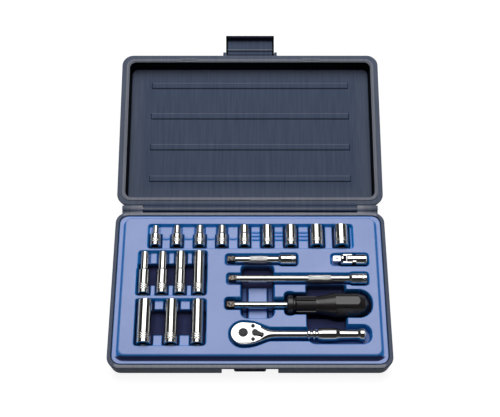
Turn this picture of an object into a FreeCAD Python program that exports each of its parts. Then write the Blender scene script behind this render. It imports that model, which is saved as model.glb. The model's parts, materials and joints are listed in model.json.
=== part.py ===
import FreeCAD, Part
import os
import Sketcher

# Socket wrench set in its case, in millimetres.
# X runs to the right, Y from the front to the hinge, Z up; the case stands on Z = 0.

doc = FreeCAD.newDocument("socket_set")
sheet = doc.addObject("Spreadsheet::Sheet", "sizes")
sheet_rows = []
finished = {}


class Size:
    """A number together with the sheet expression that gives it."""

    def __init__(self, value, text=None):
        self.value = float(value)
        self.text = text or "(%r)" % self.value

    def join(self, other, mark, value):
        return Size(value, "(%s %s %s)" % (self.text, mark, other.text))

    def __add__(self, other):
        other = as_size(other)
        return self.join(other, "+", self.value + other.value)

    def __sub__(self, other):
        other = as_size(other)
        return self.join(other, "-", self.value - other.value)

    def __mul__(self, other):
        other = as_size(other)
        return self.join(other, "*", self.value * other.value)

    def __truediv__(self, other):
        other = as_size(other)
        return self.join(other, "/", self.value / other.value)

    def __radd__(self, other):
        return as_size(other) + self

    def __rsub__(self, other):
        return as_size(other) - self

    def __rmul__(self, other):
        return as_size(other) * self

    def __neg__(self):
        return as_size(0) - self


def as_size(amount):
    return amount if isinstance(amount, Size) else Size(amount)


def size(name, value):
    sheet_rows.append(name)
    row = len(sheet_rows)
    sheet.set("A%d" % row, name)
    sheet.set("B%d" % row, str(value))
    sheet.setAlias("B%d" % row, name)
    return Size(value, "sizes." + name)


# Driving sizes of the case
case_width = size("case_width", 302)
case_depth = size("case_depth", 188)
base_height = size("base_height", 22.5)
lid_height = size("lid_height", 20)
corner_radius = size("corner_radius", 13)
wall_draft = size("wall_draft", 2.6)
wall = size("wall", 2.5)
rim_width = size("rim_width", 4)
edge_width = size("edge_width", 9.2)
seam_gap = size("seam_gap", 0.2)
hinge_offset = size("hinge_offset", 4.4)
hinge_radius = size("hinge_radius", 3.6)
hinge_pin_radius = size("hinge_pin_radius", 1.5)
hinge_middle = size("hinge_middle", 120.5)
hinge_end = size("hinge_end", 144)
lid_open_angle = size("lid_open_angle", 169)
latch_half = size("latch_half", 28.5)
latch_length = size("latch_length", 22)
latch_out = size("latch_out", 3.2)
latch_up = size("latch_up", 5)
latch_barrel = size("latch_barrel", 2.6)
latch_pin_radius = size("latch_pin_radius", 1)
running_gap = size("running_gap", 0.04)

# Driving sizes of the tray
plateau = size("plateau", 27)
sheet_thick = size("sheet_thick", 1.2)
flange_top = size("flange_top", 21.5)

# Driving sizes of the tools
drive = size("drive", 6.35)
drive_socket = size("drive_socket", 6.5)
drive_length = size("drive_length", 8.5)
drive_body = size("drive_body", 6)
shaft_radius = size("shaft_radius", 4.1)
standard_length = size("standard_length", 25)
deep_length = size("deep_length", 50)
socket_axis = size("socket_axis", 26)
bar_axis = size("bar_axis", 26.5)
spinner_axis = size("spinner_axis", 22)
chamfer = size("chamfer", 0.7)
ball_radius = size("ball_radius", 1.2)
ball_proud = size("ball_proud", 0.5)
cut_clear = size("cut_clear", 1)

hinge_y = case_depth / 2 + hinge_offset
half_width = case_width / 2
half_depth = case_depth / 2


def bind(thing, prop, amount):
    thing.setExpression(prop, as_size(amount).text)


def new_body(name, at=(0, 0, 0), axis=None, angle=0):
    body = doc.addObject("PartDesign::Body", name)
    if axis:
        body.Placement.Rotation = FreeCAD.Rotation(FreeCAD.Vector(*axis), as_size(angle).value)
        bind(body, "Placement.Rotation.Angle", angle)
    for letter, amount in zip("xyz", at):
        bind(body, "Placement.Base." + letter, amount)
    finished[name] = body
    return body


def attach(feature, body, role, offset):
    planes = {item.Role: item for item in body.Origin.OriginFeatures}
    feature.AttachmentSupport = [(planes[role], "")]
    feature.MapMode = "FlatFace"
    for letter, amount in zip("xyz", offset):
        bind(feature, "AttachmentOffset.Base." + letter, amount)


def kind_of(shape, cut):
    return "PartDesign::" + ("Subtractive" if cut else "Additive") + shape


def block(body, name, low, high, cut=False):
    feature = body.newObject(kind_of("Box", cut), name)
    for prop, start, end in zip(("Length", "Width", "Height"), low, high):
        bind(feature, prop, as_size(end) - start)
    attach(feature, body, "XY_Plane", low)
    return feature


def along(axis, start):
    """Plane and offset that point a round feature along X or Z."""
    x, y, z = start
    if axis == "x":
        return "YZ_Plane", (y, z, x)
    return "XY_Plane", (x, y, z)


def rod(body, name, axis, start, radius, length, cut=False):
    feature = body.newObject(kind_of("Cylinder", cut), name)
    bind(feature, "Radius", radius)
    bind(feature, "Height", length)
    role, offset = along(axis, start)
    attach(feature, body, role, offset)
    return feature


def rod_y(body, name, start, radius, length, cut=False):
    """A round feature that runs toward the front from its start."""
    x, y, z = start
    feature = body.newObject(kind_of("Cylinder", cut), name)
    bind(feature, "Radius", radius)
    bind(feature, "Height", length)
    attach(feature, body, "XZ_Plane", (x, z, -as_size(y)))
    return feature


def hexagon(body, name, start, across, length):
    feature = body.newObject("PartDesign::SubtractivePrism", name)
    feature.Polygon = 6
    bind(feature, "Circumradius", as_size(across) / 1.732)
    bind(feature, "Height", length)
    role, offset = along("x", start)
    attach(feature, body, role, offset)


def ball(body, name, radius):
    feature = body.newObject("PartDesign::AdditiveSphere", name)
    bind(feature, "Radius", radius)
    return feature


def new_sketch(body, name, role="XY_Plane", z=0):
    sketch = body.newObject("Sketcher::SketchObject", name)
    attach(sketch, body, role, (0, 0, z))
    return sketch


def hold_point(sketch, line, spot):
    """Tie the start of a line to its place in the sketch."""
    for kind, axis, amount in (("DistanceX", -2, spot[0]), ("DistanceY", -1, spot[1])):
        amount = as_size(amount)
        if abs(amount.value) < 1e-6:
            sketch.addConstraint(Sketcher.Constraint("PointOnObject", line, 1, axis))
        else:
            number = sketch.addConstraint(Sketcher.Constraint(kind, -1, 1, line, 1, amount.value))
            sketch.setExpression("Constraints[%d]" % number, amount.text)


def polygon(sketch, points):
    spots = [FreeCAD.Vector(as_size(x).value, as_size(y).value, 0) for x, y in points]
    count = len(spots)
    for index in range(count):
        sketch.addGeometry(Part.LineSegment(spots[index], spots[(index + 1) % count]), False)
    for index in range(count):
        sketch.addConstraint(Sketcher.Constraint("Coincident", index, 2, (index + 1) % count, 1))
    for index, spot in enumerate(points):
        hold_point(sketch, index, spot)


def turned(body, name, points, z=0):
    """Revolve a profile of (along X, radius) points about a line along X at a given height."""
    sketch = new_sketch(body, name + "_profile", z=z)
    polygon(sketch, points)
    feature = body.newObject("PartDesign::Revolution", name)
    feature.Profile = sketch
    feature.ReferenceAxis = (sketch, ["H_Axis"])
    feature.Angle = 360
    return feature


def upright(body, name, points):
    """Revolve a profile of (radius, along Z) points about the body's Z axis."""
    sketch = new_sketch(body, name + "_profile", "XZ_Plane")
    polygon(sketch, points)
    feature = body.newObject("PartDesign::Revolution", name)
    feature.Profile = sketch
    feature.ReferenceAxis = (sketch, ["V_Axis"])
    feature.Angle = 360
    return feature


def slab(body, name, points, z, height, cut=False):
    sketch = new_sketch(body, name + "_outline", z=z)
    polygon(sketch, points)
    feature = body.newObject("PartDesign::" + ("Pocket" if cut else "Pad"), name)
    feature.Profile = sketch
    feature.Reversed = cut
    bind(feature, "Length", height)
    return feature


def rounded(sketch, half_x, half_y, centre_y, radius):
    """A rectangle with four tangent corner arcs, centred on the Y axis."""
    half_x, half_y, centre_y, radius = map(as_size, (half_x, half_y, centre_y, radius))
    first = sketch.GeometryCount
    right, back, front = half_x.value, centre_y.value + half_y.value, centre_y.value - half_y.value
    r = radius.value
    centres = [(right - r, front + r), (right - r, back - r), (r - right, back - r), (r - right, front + r)]
    starts = [(r - right, front), (right, front + r), (right - r, back), (-right, back - r)]
    ends = [(right - r, front), (right, back - r), (r - right, back), (-right, front + r)]
    quarter = 3.14159265 / 2
    for index in range(4):
        line = Part.LineSegment(FreeCAD.Vector(*starts[index], 0), FreeCAD.Vector(*ends[index], 0))
        circle = Part.Circle(FreeCAD.Vector(*centres[index], 0), FreeCAD.Vector(0, 0, 1), r)
        sketch.addGeometry(line, False)
        sketch.addGeometry(Part.ArcOfCircle(circle, quarter * (index - 1), quarter * index), False)
    for index in range(4):
        line = first + 2 * index
        following = first + 2 * ((index + 1) % 4)
        sketch.addConstraint(Sketcher.Constraint("Tangent", line, 2, line + 1, 1))
        sketch.addConstraint(Sketcher.Constraint("Tangent", line + 1, 2, following, 1))
        sketch.addConstraint(Sketcher.Constraint("Vertical" if index % 2 else "Horizontal", line))
        if index:
            sketch.addConstraint(Sketcher.Constraint("Equal", first + 1, line + 1))
    held = [
        ("Radius", (first + 1,), radius),
        ("DistanceX", (-1, 1, first + 2, 1), half_x),
        ("DistanceX", (first + 6, 1, -1, 1), half_x),
        ("DistanceY", (-1, 1, first + 4, 1), centre_y + half_y),
        ("DistanceY", (first, 1, -1, 1), half_y - centre_y),
    ]
    for kind, where, amount in held:
        number = sketch.addConstraint(Sketcher.Constraint(kind, *where, amount.value))
        sketch.setExpression("Constraints[%d]" % number, amount.text)


def case_outline(inset, shift=0):
    """Half sizes, centre and corner of the case outline moved inward by an inset."""
    return half_width - inset, half_depth - inset, as_size(shift), corner_radius - as_size(inset) * 0.6


def frustum(body, name, lower, upper, low_z, high_z, cut=False):
    sketches = []
    for word, outline, z in (("low", lower, low_z), ("high", upper, high_z)):
        sketch = new_sketch(body, "%s_%s" % (name, word), z=z)
        rounded(sketch, *outline)
        sketches.append(sketch)
    feature = body.newObject(kind_of("Loft", cut), name)
    feature.Profile = sketches[0]
    feature.Sections = [sketches[1]]
    feature.Ruled = True
    return feature


def ring(body, name, outer, inner, z, height):
    sketch = new_sketch(body, name + "_outline", z=z)
    rounded(sketch, *outer)
    rounded(sketch, *inner)
    feature = body.newObject("PartDesign::Pad", name)
    feature.Profile = sketch
    bind(feature, "Length", height)
    return feature


def pattern(body, name, feature, axis_role, count):
    axes = {item.Role: item for item in body.Origin.OriginFeatures}
    repeat = body.newObject("PartDesign::PolarPattern", name)
    repeat.Originals = [feature]
    repeat.Axis = (axes[axis_role], [""])
    repeat.Angle = 360
    repeat.Occurrences = count
    body.Tip = repeat
    return repeat


# Base shell
base = new_body("base_shell")
foot = size("foot", 2.2)
frustum(base, "base_foot", case_outline(wall_draft + foot), case_outline(wall_draft), 0, foot)
frustum(base, "base_outside", case_outline(wall_draft), case_outline(0), foot, base_height)
frustum(base, "base_inside", case_outline(wall_draft + wall + foot), case_outline(rim_width),
        wall, base_height, cut=True)
ledge_top = flange_top - sheet_thick - 0.05
ring(base, "tray_ledge", case_outline(rim_width - 0.8), case_outline(edge_width + 0.2), ledge_top - 3, 3)

# Latch recess in the front wall, with a catch for the hook
recess_half = latch_half + 1.5
recess_deep = size("recess_deep", 8.5)
front = -half_depth
block(base, "recess_wall", (-recess_half - wall, front + wall, wall / 2),
      (recess_half + wall, front + recess_deep + wall, ledge_top - 2))
block(base, "recess", (-recess_half, front - cut_clear, -cut_clear),
      (recess_half, front + recess_deep, base_height - 4), cut=True)
catch_low = size("catch_low", 8.3)
block(base, "catch", (-17, front + 1.5, catch_low), (17, front + recess_deep + 0.5, catch_low + 3))

# Two hinge knuckles at the back of the base
back = half_depth
for side, start in (("left", -hinge_end), ("right", hinge_middle + 0.5)):
    length = hinge_end - hinge_middle - 0.5
    block(base, "hinge_web_" + side, (start, back - 1.5, base_height - hinge_radius),
          (start + length, hinge_y, base_height))
    rod(base, "hinge_knuckle_" + side, "x", (start, hinge_y, base_height), hinge_radius, length)
rod(base, "hinge_bore", "x", (-hinge_end - 1, hinge_y, base_height), hinge_pin_radius,
    hinge_end * 2 + 2, cut=True)

# Hinge pin, pressed into the knuckles of the base
pin = new_body("hinge_pin")
rod(pin, "pin", "x", (1 - hinge_end, hinge_y, base_height), hinge_pin_radius, hinge_end * 2 - 2)

# Lid shell, drawn closed about the hinge axis and turned open
lid = new_body("lid_shell", (0, hinge_y, base_height), (-1, 0, 0), lid_open_angle)
lid_centre = -hinge_offset - half_depth
lid_front = -hinge_offset - case_depth
lid_edge = size("lid_edge", 3)
trough_depth = size("trough_depth", 17)
panel_depth = size("panel_depth", 15)
panel_half = size("panel_half", 118.5)
panel_deep = size("panel_deep", 63.5)
panel_shift = size("panel_shift", -1.3)
frustum(lid, "lid_outside", case_outline(0, lid_centre), case_outline(wall_draft, lid_centre),
        seam_gap, lid_height - lid_edge)
frustum(lid, "lid_crown", case_outline(wall_draft, lid_centre),
        case_outline(wall_draft + lid_edge, lid_centre), lid_height - lid_edge, lid_height)
frustum(lid, "lid_inside", case_outline(edge_width, lid_centre), case_outline(edge_width + 1, lid_centre),
        0, trough_depth, cut=True)
panel_outline = (panel_half, panel_deep, lid_centre + panel_shift, 4)
frustum(lid, "lid_panel", case_outline(edge_width + 0.9, lid_centre), panel_outline,
        trough_depth + 0.1, panel_depth)
ring(lid, "lid_tongue", case_outline(5.6, lid_centre), case_outline(8, lid_centre), -0.6, 0.8 + seam_gap)

# Four stiffening ribs on the inside panel of the lid
rib_half = size("rib_half", 116.5)
rib_width = size("rib_width", 8)
rib_high = size("rib_high", 0.8)
rib_first = size("rib_first", 41.5)
rib_step = size("rib_step", 39.2)
for number in range(4):
    rib_y = -(rib_first + rib_step * number)
    block(lid, "rib_%d" % number, (-rib_half, rib_y - rib_width / 2, panel_depth - rib_high),
          (rib_half, rib_y + rib_width / 2, panel_depth + 1))

# Two snap pads on the tongue, the middle hinge knuckle and the latch lugs of the lid
for side, start in (("left", -82), ("right", 62)):
    block(lid, "snap_pad_" + side, (start, lid_front + 4.4, -0.6), (start + 20, lid_front + edge_width, 1))
block(lid, "lid_hinge_web", (-hinge_middle, -hinge_offset - 1.5, seam_gap), (hinge_middle, 0, hinge_radius))
rod(lid, "lid_knuckle", "x", (-hinge_middle, 0, 0), hinge_radius, hinge_middle * 2)
rod(lid, "lid_bore", "x", (-hinge_middle - 1, 0, 0), hinge_pin_radius + running_gap,
    hinge_middle * 2 + 2, cut=True)
latch_y = lid_front - latch_out
lug_thick = size("lug_thick", 3)
for side, start in (("left", -latch_half - lug_thick - 0.3), ("right", latch_half + 0.3)):
    block(lid, "latch_lug_" + side, (start, latch_y, latch_up - latch_barrel),
          (start + lug_thick, lid_front + 2.5, latch_up + latch_barrel))
    rod(lid, "latch_eye_" + side, "x", (start, latch_y, latch_up), latch_barrel, lug_thick)
rod(lid, "latch_bore", "x", (-latch_half - 10, latch_y, latch_up), latch_pin_radius,
    latch_half * 2 + 20, cut=True)


def lid_spot(y, z):
    """Place of a lid point with the lid open, as sheet expressions."""
    y, z = as_size(y), as_size(z)
    turn = FreeCAD.Rotation(FreeCAD.Vector(-1, 0, 0), lid_open_angle.value)
    spot = turn.multVec(FreeCAD.Vector(0, y.value, z.value))
    cosine = "cos(%s * 1deg)" % lid_open_angle.text
    sine = "sin(%s * 1deg)" % lid_open_angle.text
    across = Size(spot.y, "(%s * %s + %s * %s)" % (y.text, cosine, z.text, sine))
    height = Size(spot.z, "(%s * %s - %s * %s)" % (z.text, cosine, y.text, sine))
    return hinge_y + across, base_height + height


# Latch flap, drawn hanging closed and swung out by a quarter turn from the closed lid
latch_at_y, latch_at_z = lid_spot(latch_y, latch_up)
latch = new_body("latch_flap", (0, latch_at_y, latch_at_z), (-1, 0, 0), lid_open_angle + 90)
rod(latch, "latch_barrel", "x", (-latch_half, 0, 0), latch_barrel, latch_half * 2)
block(latch, "latch_panel", (-latch_half, -latch_barrel, -latch_length), (latch_half, -0.1, 0))
block(latch, "latch_hook", (-latch_half, -latch_barrel, -latch_length), (latch_half, 6, 2.5 - latch_length))
block(latch, "latch_grip", (-latch_half, -latch_barrel - 1.4, -latch_length),
      (latch_half, -latch_barrel, 4 - latch_length))
rod(latch, "latch_hole", "x", (-latch_half - 1, 0, 0), latch_pin_radius + running_gap,
    latch_half * 2 + 2, cut=True)
latch_pin = new_body("latch_pin", (0, latch_at_y, latch_at_z))
rod(latch_pin, "latch_rod", "x", (-latch_half - 3, 0, 0), latch_pin_radius, latch_half * 2 + 6)

# Sockets: the drive end faces the front, the nose faces the hinge
standard_front = size("standard_front", 48.3)
deep_back_front = size("deep_back_front", -9.7)
deep_front_front = size("deep_front_front", -68.2)
standard_sockets = [
    (-104.9, 4, 12, 6.9), (-81.0, 5, 12, 8), (-55.7, 5.5, 12, 8.6), (-31.1, 6, 12, 9.2),
    (-6.2, 7, 12, 11), (19.2, 8, 12, 12), (45.3, 9, 13, 13), (73.9, 10, 14.4, 14.4),
    (101.2, 11, 15.6, 15.6),
]
deep_back_sockets = [
    (-115.4, 5.5, 12, 8.6), (-95.7, 6, 12, 9.4), (-76.0, 7, 12, 11.4), (-55.7, 8, 12.4, 12.4),
]
deep_front_sockets = [(-112.7, 11, 15.6, 15.6), (-84.0, 10, 14, 14), (-56.0, 9, 13, 13)]
socket_slots = []


def socket(name, start_y, length, hex_depth, step_at, centre, across, drive_wide, nose_wide):
    centre = size(name + "_centre", centre)
    across = size(name + "_across", across)
    drive_wide = size(name + "_drive_wide", drive_wide)
    nose_wide = size(name + "_nose_wide", nose_wide)
    body = new_body(name, (centre, start_y, socket_axis), (0, 0, 1), 90)
    wide, narrow = drive_wide / 2, nose_wide / 2
    turned(body, name + "_outside", [
        (0, 0), (0, wide - chamfer), (chamfer, wide), (step_at, wide), (step_at + 1.6, narrow),
        (length - chamfer, narrow), (length, narrow - chamfer), (length, 0)])
    hexagon(body, name + "_hex", (length - hex_depth, 0, 0), across + 0.1, hex_depth + cut_clear)
    half = drive_socket / 2
    block(body, name + "_square", (-cut_clear, -half, -half), (drive_length, half, half), cut=True)
    through = drive_socket * 0.465 if across.value > 6.5 else across * 0.42
    rod(body, name + "_through", "x", (0, 0, 0), through, length, cut=True)
    socket_slots.append((centre, start_y, length, drive_wide))


for number, row in enumerate(standard_sockets, 1):
    socket("standard_socket_%d" % number, standard_front, standard_length, standard_length * 0.42,
           standard_length * 0.55, *row)
for number, row in enumerate(deep_back_sockets, 1):
    socket("deep_socket_%d" % number, deep_back_front, deep_length, deep_length * 0.6,
           deep_length * 0.55, *row)
for number, row in enumerate(deep_front_sockets, 5):
    socket("deep_socket_%d" % number, deep_front_front, deep_length, deep_length * 0.6,
           deep_length * 0.55, *row)

# Detents: a sprung ball in the top face of a drive square
ball_x = size("ball_x", 4.2)
lip = size("lip", 0.25)
mouth_gap = size("mouth_gap", 0.05)
well_depth = size("well_depth", 5.2)
ball_low = drive / 2 + ball_proud - ball_radius * 2
well_floor = drive / 2 - well_depth


def male_drive(body, name, start=0):
    """A square tongue along X with the hole for its detent ball."""
    half = drive / 2
    core = half - 0.6
    end = start + drive_length
    block(body, name + "_drive", (start + 0.7, -half, -half), (end, half, half))
    block(body, name + "_tip", (start, -core, -core), (end, core, core))
    rod(body, name + "_mouth", "z", (start + ball_x, 0, 0), ball_radius - mouth_gap, drive, cut=True)
    rod(body, name + "_well", "z", (start + ball_x, 0, well_floor), ball_radius + 0.05,
        half - lip - well_floor, cut=True)


def female_drive(body, name, end):
    """A square hole that opens at the end of a tool that lies along X."""
    half = drive_socket / 2
    block(body, name + "_square", (end - drive_length, -half, -half), (end + cut_clear, half, half), cut=True)


def detent(name, at):
    """The ball and its spring for a square tongue that starts at a given place."""
    x, y, z = at
    centre_z = z + drive / 2 + ball_proud - ball_radius
    detent_ball = new_body(name + "_ball", (x + ball_x, y, centre_z))
    ball(detent_ball, name + "_sphere", ball_radius)
    spring = new_body(name + "_spring", (x + ball_x, y, z + well_floor + 0.02))
    rod(spring, name + "_coil", "z", (0, 0, 0), ball_radius * 0.75, ball_low - well_floor - 0.04)


def extension(name, at, length, knurl_start, knurl_end):
    body = new_body(name, at)
    knurl = shaft_radius + 0.5
    head = length - 16
    turned(body, name + "_outside", [
        (drive_length - 1, 0), (drive_length - 1, shaft_radius), (knurl_start, shaft_radius),
        (knurl_start + 0.5, knurl), (knurl_end - 0.5, knurl), (knurl_end, shaft_radius),
        (head - 3, shaft_radius), (head, drive_body), (length - chamfer, drive_body),
        (length, drive_body - chamfer), (length, 0)])
    male_drive(body, name)
    female_drive(body, name, length)
    detent(name, at)


short_length = size("short_length", 75)
long_length = size("long_length", 150)
short_at = (size("short_x", -25), size("short_y", 31.6), bar_axis)
long_at = (size("long_x", -23.5), size("long_y", 8.1), bar_axis)
extension("short_bar", short_at, short_length, 25, 44)
extension("long_bar", long_at, long_length, 86.5, 111.5)

# Universal joint: the socket yoke stands to the right, the drive yoke to the left
joint_x = size("joint_x", 109)
joint_y = size("joint_y", 31.5)
arm_in = size("arm_in", 3.6)
arm_half = size("arm_half", 3)
fork = size("fork", 7)
arm_tip = size("arm_tip", 3)
cross_radius = size("cross_radius", 1.3)
joint_at = (joint_x, joint_y, bar_axis)
yoke_end = size("yoke_end", 18.5)
socket_yoke = new_body("joint_socket_yoke", joint_at)
turned(socket_yoke, "socket_yoke_round", [
    (-arm_tip, 0), (-arm_tip, drive_body - chamfer), (chamfer - arm_tip, drive_body),
    (yoke_end - chamfer, drive_body), (yoke_end, drive_body - chamfer), (yoke_end, 0)])
reach = size("reach", 8)
block(socket_yoke, "socket_fork", (-reach, -reach, -arm_in), (fork, reach, arm_in), cut=True)
for side, low, high in (("front", -reach, -arm_half), ("back", arm_half, reach)):
    block(socket_yoke, "socket_arm_" + side, (-reach, low, -reach), (fork, high, reach), cut=True)
female_drive(socket_yoke, "socket_yoke", yoke_end)
rod(socket_yoke, "socket_eye", "z", (0, 0, -reach), cross_radius + running_gap, reach * 2, cut=True)

drive_yoke = new_body("joint_drive_yoke", joint_at)
yoke_back = -fork - 3
turned(drive_yoke, "drive_yoke_round", [
    (yoke_back, 0), (yoke_back, shaft_radius), (yoke_back + 1.2, drive_body),
    (arm_tip - chamfer, drive_body), (arm_tip, drive_body - chamfer), (arm_tip, 0)])
block(drive_yoke, "drive_fork", (-fork, -arm_in, -reach), (reach, arm_in, reach), cut=True)
for side, low, high in (("low", -reach, -arm_half), ("high", arm_half, reach)):
    block(drive_yoke, "drive_arm_" + side, (-fork, -reach, low), (reach, reach, high), cut=True)
rod_y(drive_yoke, "drive_eye", (0, reach, 0), cross_radius + running_gap, reach * 2, cut=True)
tongue_start = yoke_back - drive_length + 0.5
male_drive(drive_yoke, "yoke", tongue_start)
detent("joint", (joint_x + tongue_start, joint_y, bar_axis))

cross_block = new_body("joint_block", joint_at)
block_half = arm_in - 0.1
block(cross_block, "cross_cube", (-block_half, -block_half, -block_half),
      (block_half, block_half, block_half))
rod(cross_block, "cross_bore_up", "z", (0, 0, -reach), cross_radius, reach * 2, cut=True)
rod_y(cross_block, "cross_bore_side", (0, reach, 0), cross_radius, reach * 2, cut=True)
cross_pins = new_body("joint_pins", joint_at)
pin_half = drive_body - 0.2
rod(cross_pins, "pin_up", "z", (0, 0, -pin_half), cross_radius, pin_half * 2)
rod_y(cross_pins, "pin_side", (0, pin_half, 0), cross_radius, pin_half * 2)

# Spinner: a shaft with a fluted handle
spinner_at = (size("spinner_x", -24.8), size("spinner_y", -21.4), spinner_axis)
handle_start = size("handle_start", 64.6)
handle_length = size("handle_length", 88.4)
tang_radius = size("tang_radius", 3.4)
spinner_shaft = new_body("spinner_shaft", spinner_at)
turned(spinner_shaft, "spinner_round", [
    (drive_length - 1, 0), (drive_length - 1, shaft_radius), (handle_start, shaft_radius),
    (handle_start, tang_radius), (handle_start + 40, tang_radius), (handle_start + 40, 0)])
male_drive(spinner_shaft, "spinner")
detent("spinner", spinner_at)

bulb_radius = size("bulb_radius", 13.4)
collar_radius = size("collar_radius", 10.8)
neck_radius = size("neck_radius", 8)
grip_radius = size("grip_radius", 9.6)
handle = new_body("spinner_handle", (spinner_at[0] + handle_start, spinner_at[1], spinner_axis))
turned(handle, "handle_round", [
    (0, 0), (0, collar_radius - 2), (1.2, collar_radius), (6, collar_radius), (7, neck_radius),
    (8.6, neck_radius), (10.5, grip_radius), (34, grip_radius), (44, bulb_radius - 1.6), (52, bulb_radius),
    (76, bulb_radius), (83.5, bulb_radius - 3), (87.4, bulb_radius - 8), (handle_length, bulb_radius - 11),
    (handle_length, 0)])
flute = rod(handle, "flute", "x", (10, 0, grip_radius + 0.9), 2.4, 21, cut=True)
pattern(handle, "flutes", flute, "X_Axis", 6)
facet = block(handle, "facet", (52, -10, bulb_radius - 0.8), (79, 10, bulb_radius + 2), cut=True)
pattern(handle, "facets", facet, "X_Axis", 6)
rod(handle, "tang_hole", "x", (-1, 0, 0), tang_radius, 41, cut=True)

# Ratchet body: a round head, a tapering neck and a turned handle, drawn about the drive axis
ratchet_x = size("ratchet_x", -7.2)
ratchet_y = size("ratchet_y", -57.2)
head_low = size("head_low", 20.5)
head_top = size("head_top", 30)
head_radius = size("head_radius", 12.8)
handle_axis = size("handle_axis", 25.5)
gear_radius = size("gear_radius", 8.4)
gear_low = head_low + 1.2
hub_radius = size("hub_radius", 5.1)
cover_thick = size("cover_thick", 1.2)
lever_x = size("lever_x", 12.5)
hub_gap = size("hub_gap", 0.06)
ratchet_at = (ratchet_x, ratchet_y, 0)
ratchet = new_body("ratchet_body", ratchet_at)
head_tall = head_top - head_low
rod(ratchet, "head_round", "z", (0, 0, head_low), head_radius, head_tall)
slab(ratchet, "head_taper", [(-2, -12.6), (14, -11.2), (27, -6.6), (27, 6.6), (14, 11.2), (-2, 12.6)],
     head_low, head_tall)
turned(ratchet, "ratchet_handle", [
    (22, 0), (22, 4.7), (40, 4.3), (69, 4.3), (69.6, 5.4), (72, 5.4), (73, 4.6), (75, 4.6), (76, 5.8),
    (81, 6.2), (84, 7), (98, 7), (102, 5.6), (116, 5.2), (121, 5.2), (124, 6.8), (128, 6.8), (129.3, 5.4),
    (129.3, 0)], handle_axis)
rod(ratchet, "gear_room", "z", (0, 0, gear_low), gear_radius + 0.4, head_tall, cut=True)
rod(ratchet, "drive_hole", "z", (0, 0, head_low - 1), hub_radius + hub_gap, 4, cut=True)
block(ratchet, "pawl_room", (5, -6, gear_low), (lever_x + 5, 6, head_top + 1), cut=True)
screw_x = size("screw_x", 10.4)
screw_y = size("screw_y", 7.6)
screw_radius = size("screw_radius", 1.2)
for side, y in (("front", -screw_y), ("back", screw_y)):
    rod(ratchet, "thread_" + side, "z", (screw_x, y, head_top - 5), screw_radius, 6, cut=True)
pawl_ball_x = lever_x + 5.4
rod(ratchet, "plunger_hole", "x", (lever_x + 4, 0, head_low + 5), 1.3, 8, cut=True)

# Cover plate with its two screws
cover = new_body("ratchet_cover", ratchet_at)
rod(cover, "cover_round", "z", (0, 0, head_top), 11.4, cover_thick)
slab(cover, "cover_tail", [(0, -11.4), (12, -10.4), (18.5, -7.4), (18.5, 7.4), (12, 10.4), (0, 11.4)],
     head_top, cover_thick)
rod(cover, "cover_hole", "z", (0, 0, head_top - 1), hub_radius + hub_gap, 4, cut=True)
rod(cover, "lever_hole", "z", (lever_x, 0, head_top - 1), 1.6 + running_gap, 4, cut=True)
for side, y in (("front", -screw_y), ("back", screw_y)):
    rod(cover, "screw_hole_" + side, "z", (screw_x, y, head_top - 1), screw_radius + 0.1, 4, cut=True)
screws = []
for number, y in enumerate((-screw_y, screw_y)):
    screw = new_body("screw_%d" % number, (ratchet_x + screw_x, ratchet_y + y, head_top))
    head_z = cover_thick + 0.02
    upright(screw, "screw_round_%d" % number, [
        (0, -4.6), (screw_radius, -4.6), (screw_radius, head_z), (2.1, head_z), (2.1, head_z + 0.5),
        (1.7, head_z + 0.8), (0, head_z + 0.8)])
    block(screw, "screw_slot_%d" % number, (-3, -0.3, head_z + 0.4), (3, 0.3, head_z + 2), cut=True)
    screws.append(finished.pop("screw_%d" % number))
screw_group = doc.addObject("Part::Compound", "ratchet_screws")
screw_group.Links = screws
finished["ratchet_screws"] = screw_group

# Drive gear with 36 teeth, its hub and the drive square
gear = new_body("ratchet_gear", ratchet_at)
square_low = size("square_low", 12)
button_radius = size("button_radius", 3)
stem_radius = size("stem_radius", 1.25)
gear_top = head_top - 0.2
rod(gear, "gear_disc", "z", (0, 0, gear_low + 0.1), gear_radius, gear_top - gear_low - 0.1)
notch = slab(gear, "notch", [
    (gear_radius - 0.9, 0), (gear_radius + 0.5, -0.8), (gear_radius + 0.5, 0.8)], gear_low, 9, cut=True)
pattern(gear, "teeth", notch, "Z_Axis", 36)
rod(gear, "gear_hub", "z", (0, 0, head_low - 0.1), hub_radius, head_top + 0.7 - head_low)
half_drive = drive / 2
block(gear, "drive_square", (-half_drive, -half_drive, square_low), (half_drive, half_drive, head_low + 1))
button_floor = head_low + 2
rod(gear, "button_bore", "z", (0, 0, button_floor), button_radius + running_gap, 12, cut=True)
rod(gear, "stem_bore", "z", (0, 0, square_low + 0.6), stem_radius + running_gap, 12, cut=True)
drive_ball_z = square_low + 4
rod(gear, "ball_hole", "x", (0, 0, drive_ball_z), ball_radius + 0.05, half_drive - lip, cut=True)
rod(gear, "ball_mouth", "x", (0, 0, drive_ball_z), ball_radius - mouth_gap, drive, cut=True)

# Release button in the hub: its tapered stem lets the drive ball sink when pressed
button = new_body("release_button", ratchet_at)
button_top = head_top + 1
button_low = head_top - 3
taper_low = drive_ball_z + 0.3
taper_high = taper_low + 2.8
upright(button, "button_round", [
    (0, square_low + 2.8), (stem_radius, square_low + 2.8), (stem_radius, taper_low), (0.65, taper_high),
    (0.65, taper_high + 0.6), (stem_radius, taper_high + 1.2), (stem_radius, button_low),
    (button_radius, button_low), (button_radius, button_top - 0.4), (button_radius - 0.4, button_top),
    (0, button_top)])
release_spring = new_body("release_spring", (ratchet_x, ratchet_y, button_floor + 0.02))
rod(release_spring, "release_coil", "z", (0, 0, 0), button_radius - 0.3, button_low - button_floor - 0.04)
rod(release_spring, "release_eye", "z", (0, 0, -1), stem_radius + 0.2, 10, cut=True)
drive_ball_x = ratchet_x + stem_radius + ball_radius + 0.07
drive_ball = new_body("ratchet_ball", (drive_ball_x, ratchet_y, drive_ball_z))
ball(drive_ball, "drive_sphere", ball_radius)

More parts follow.
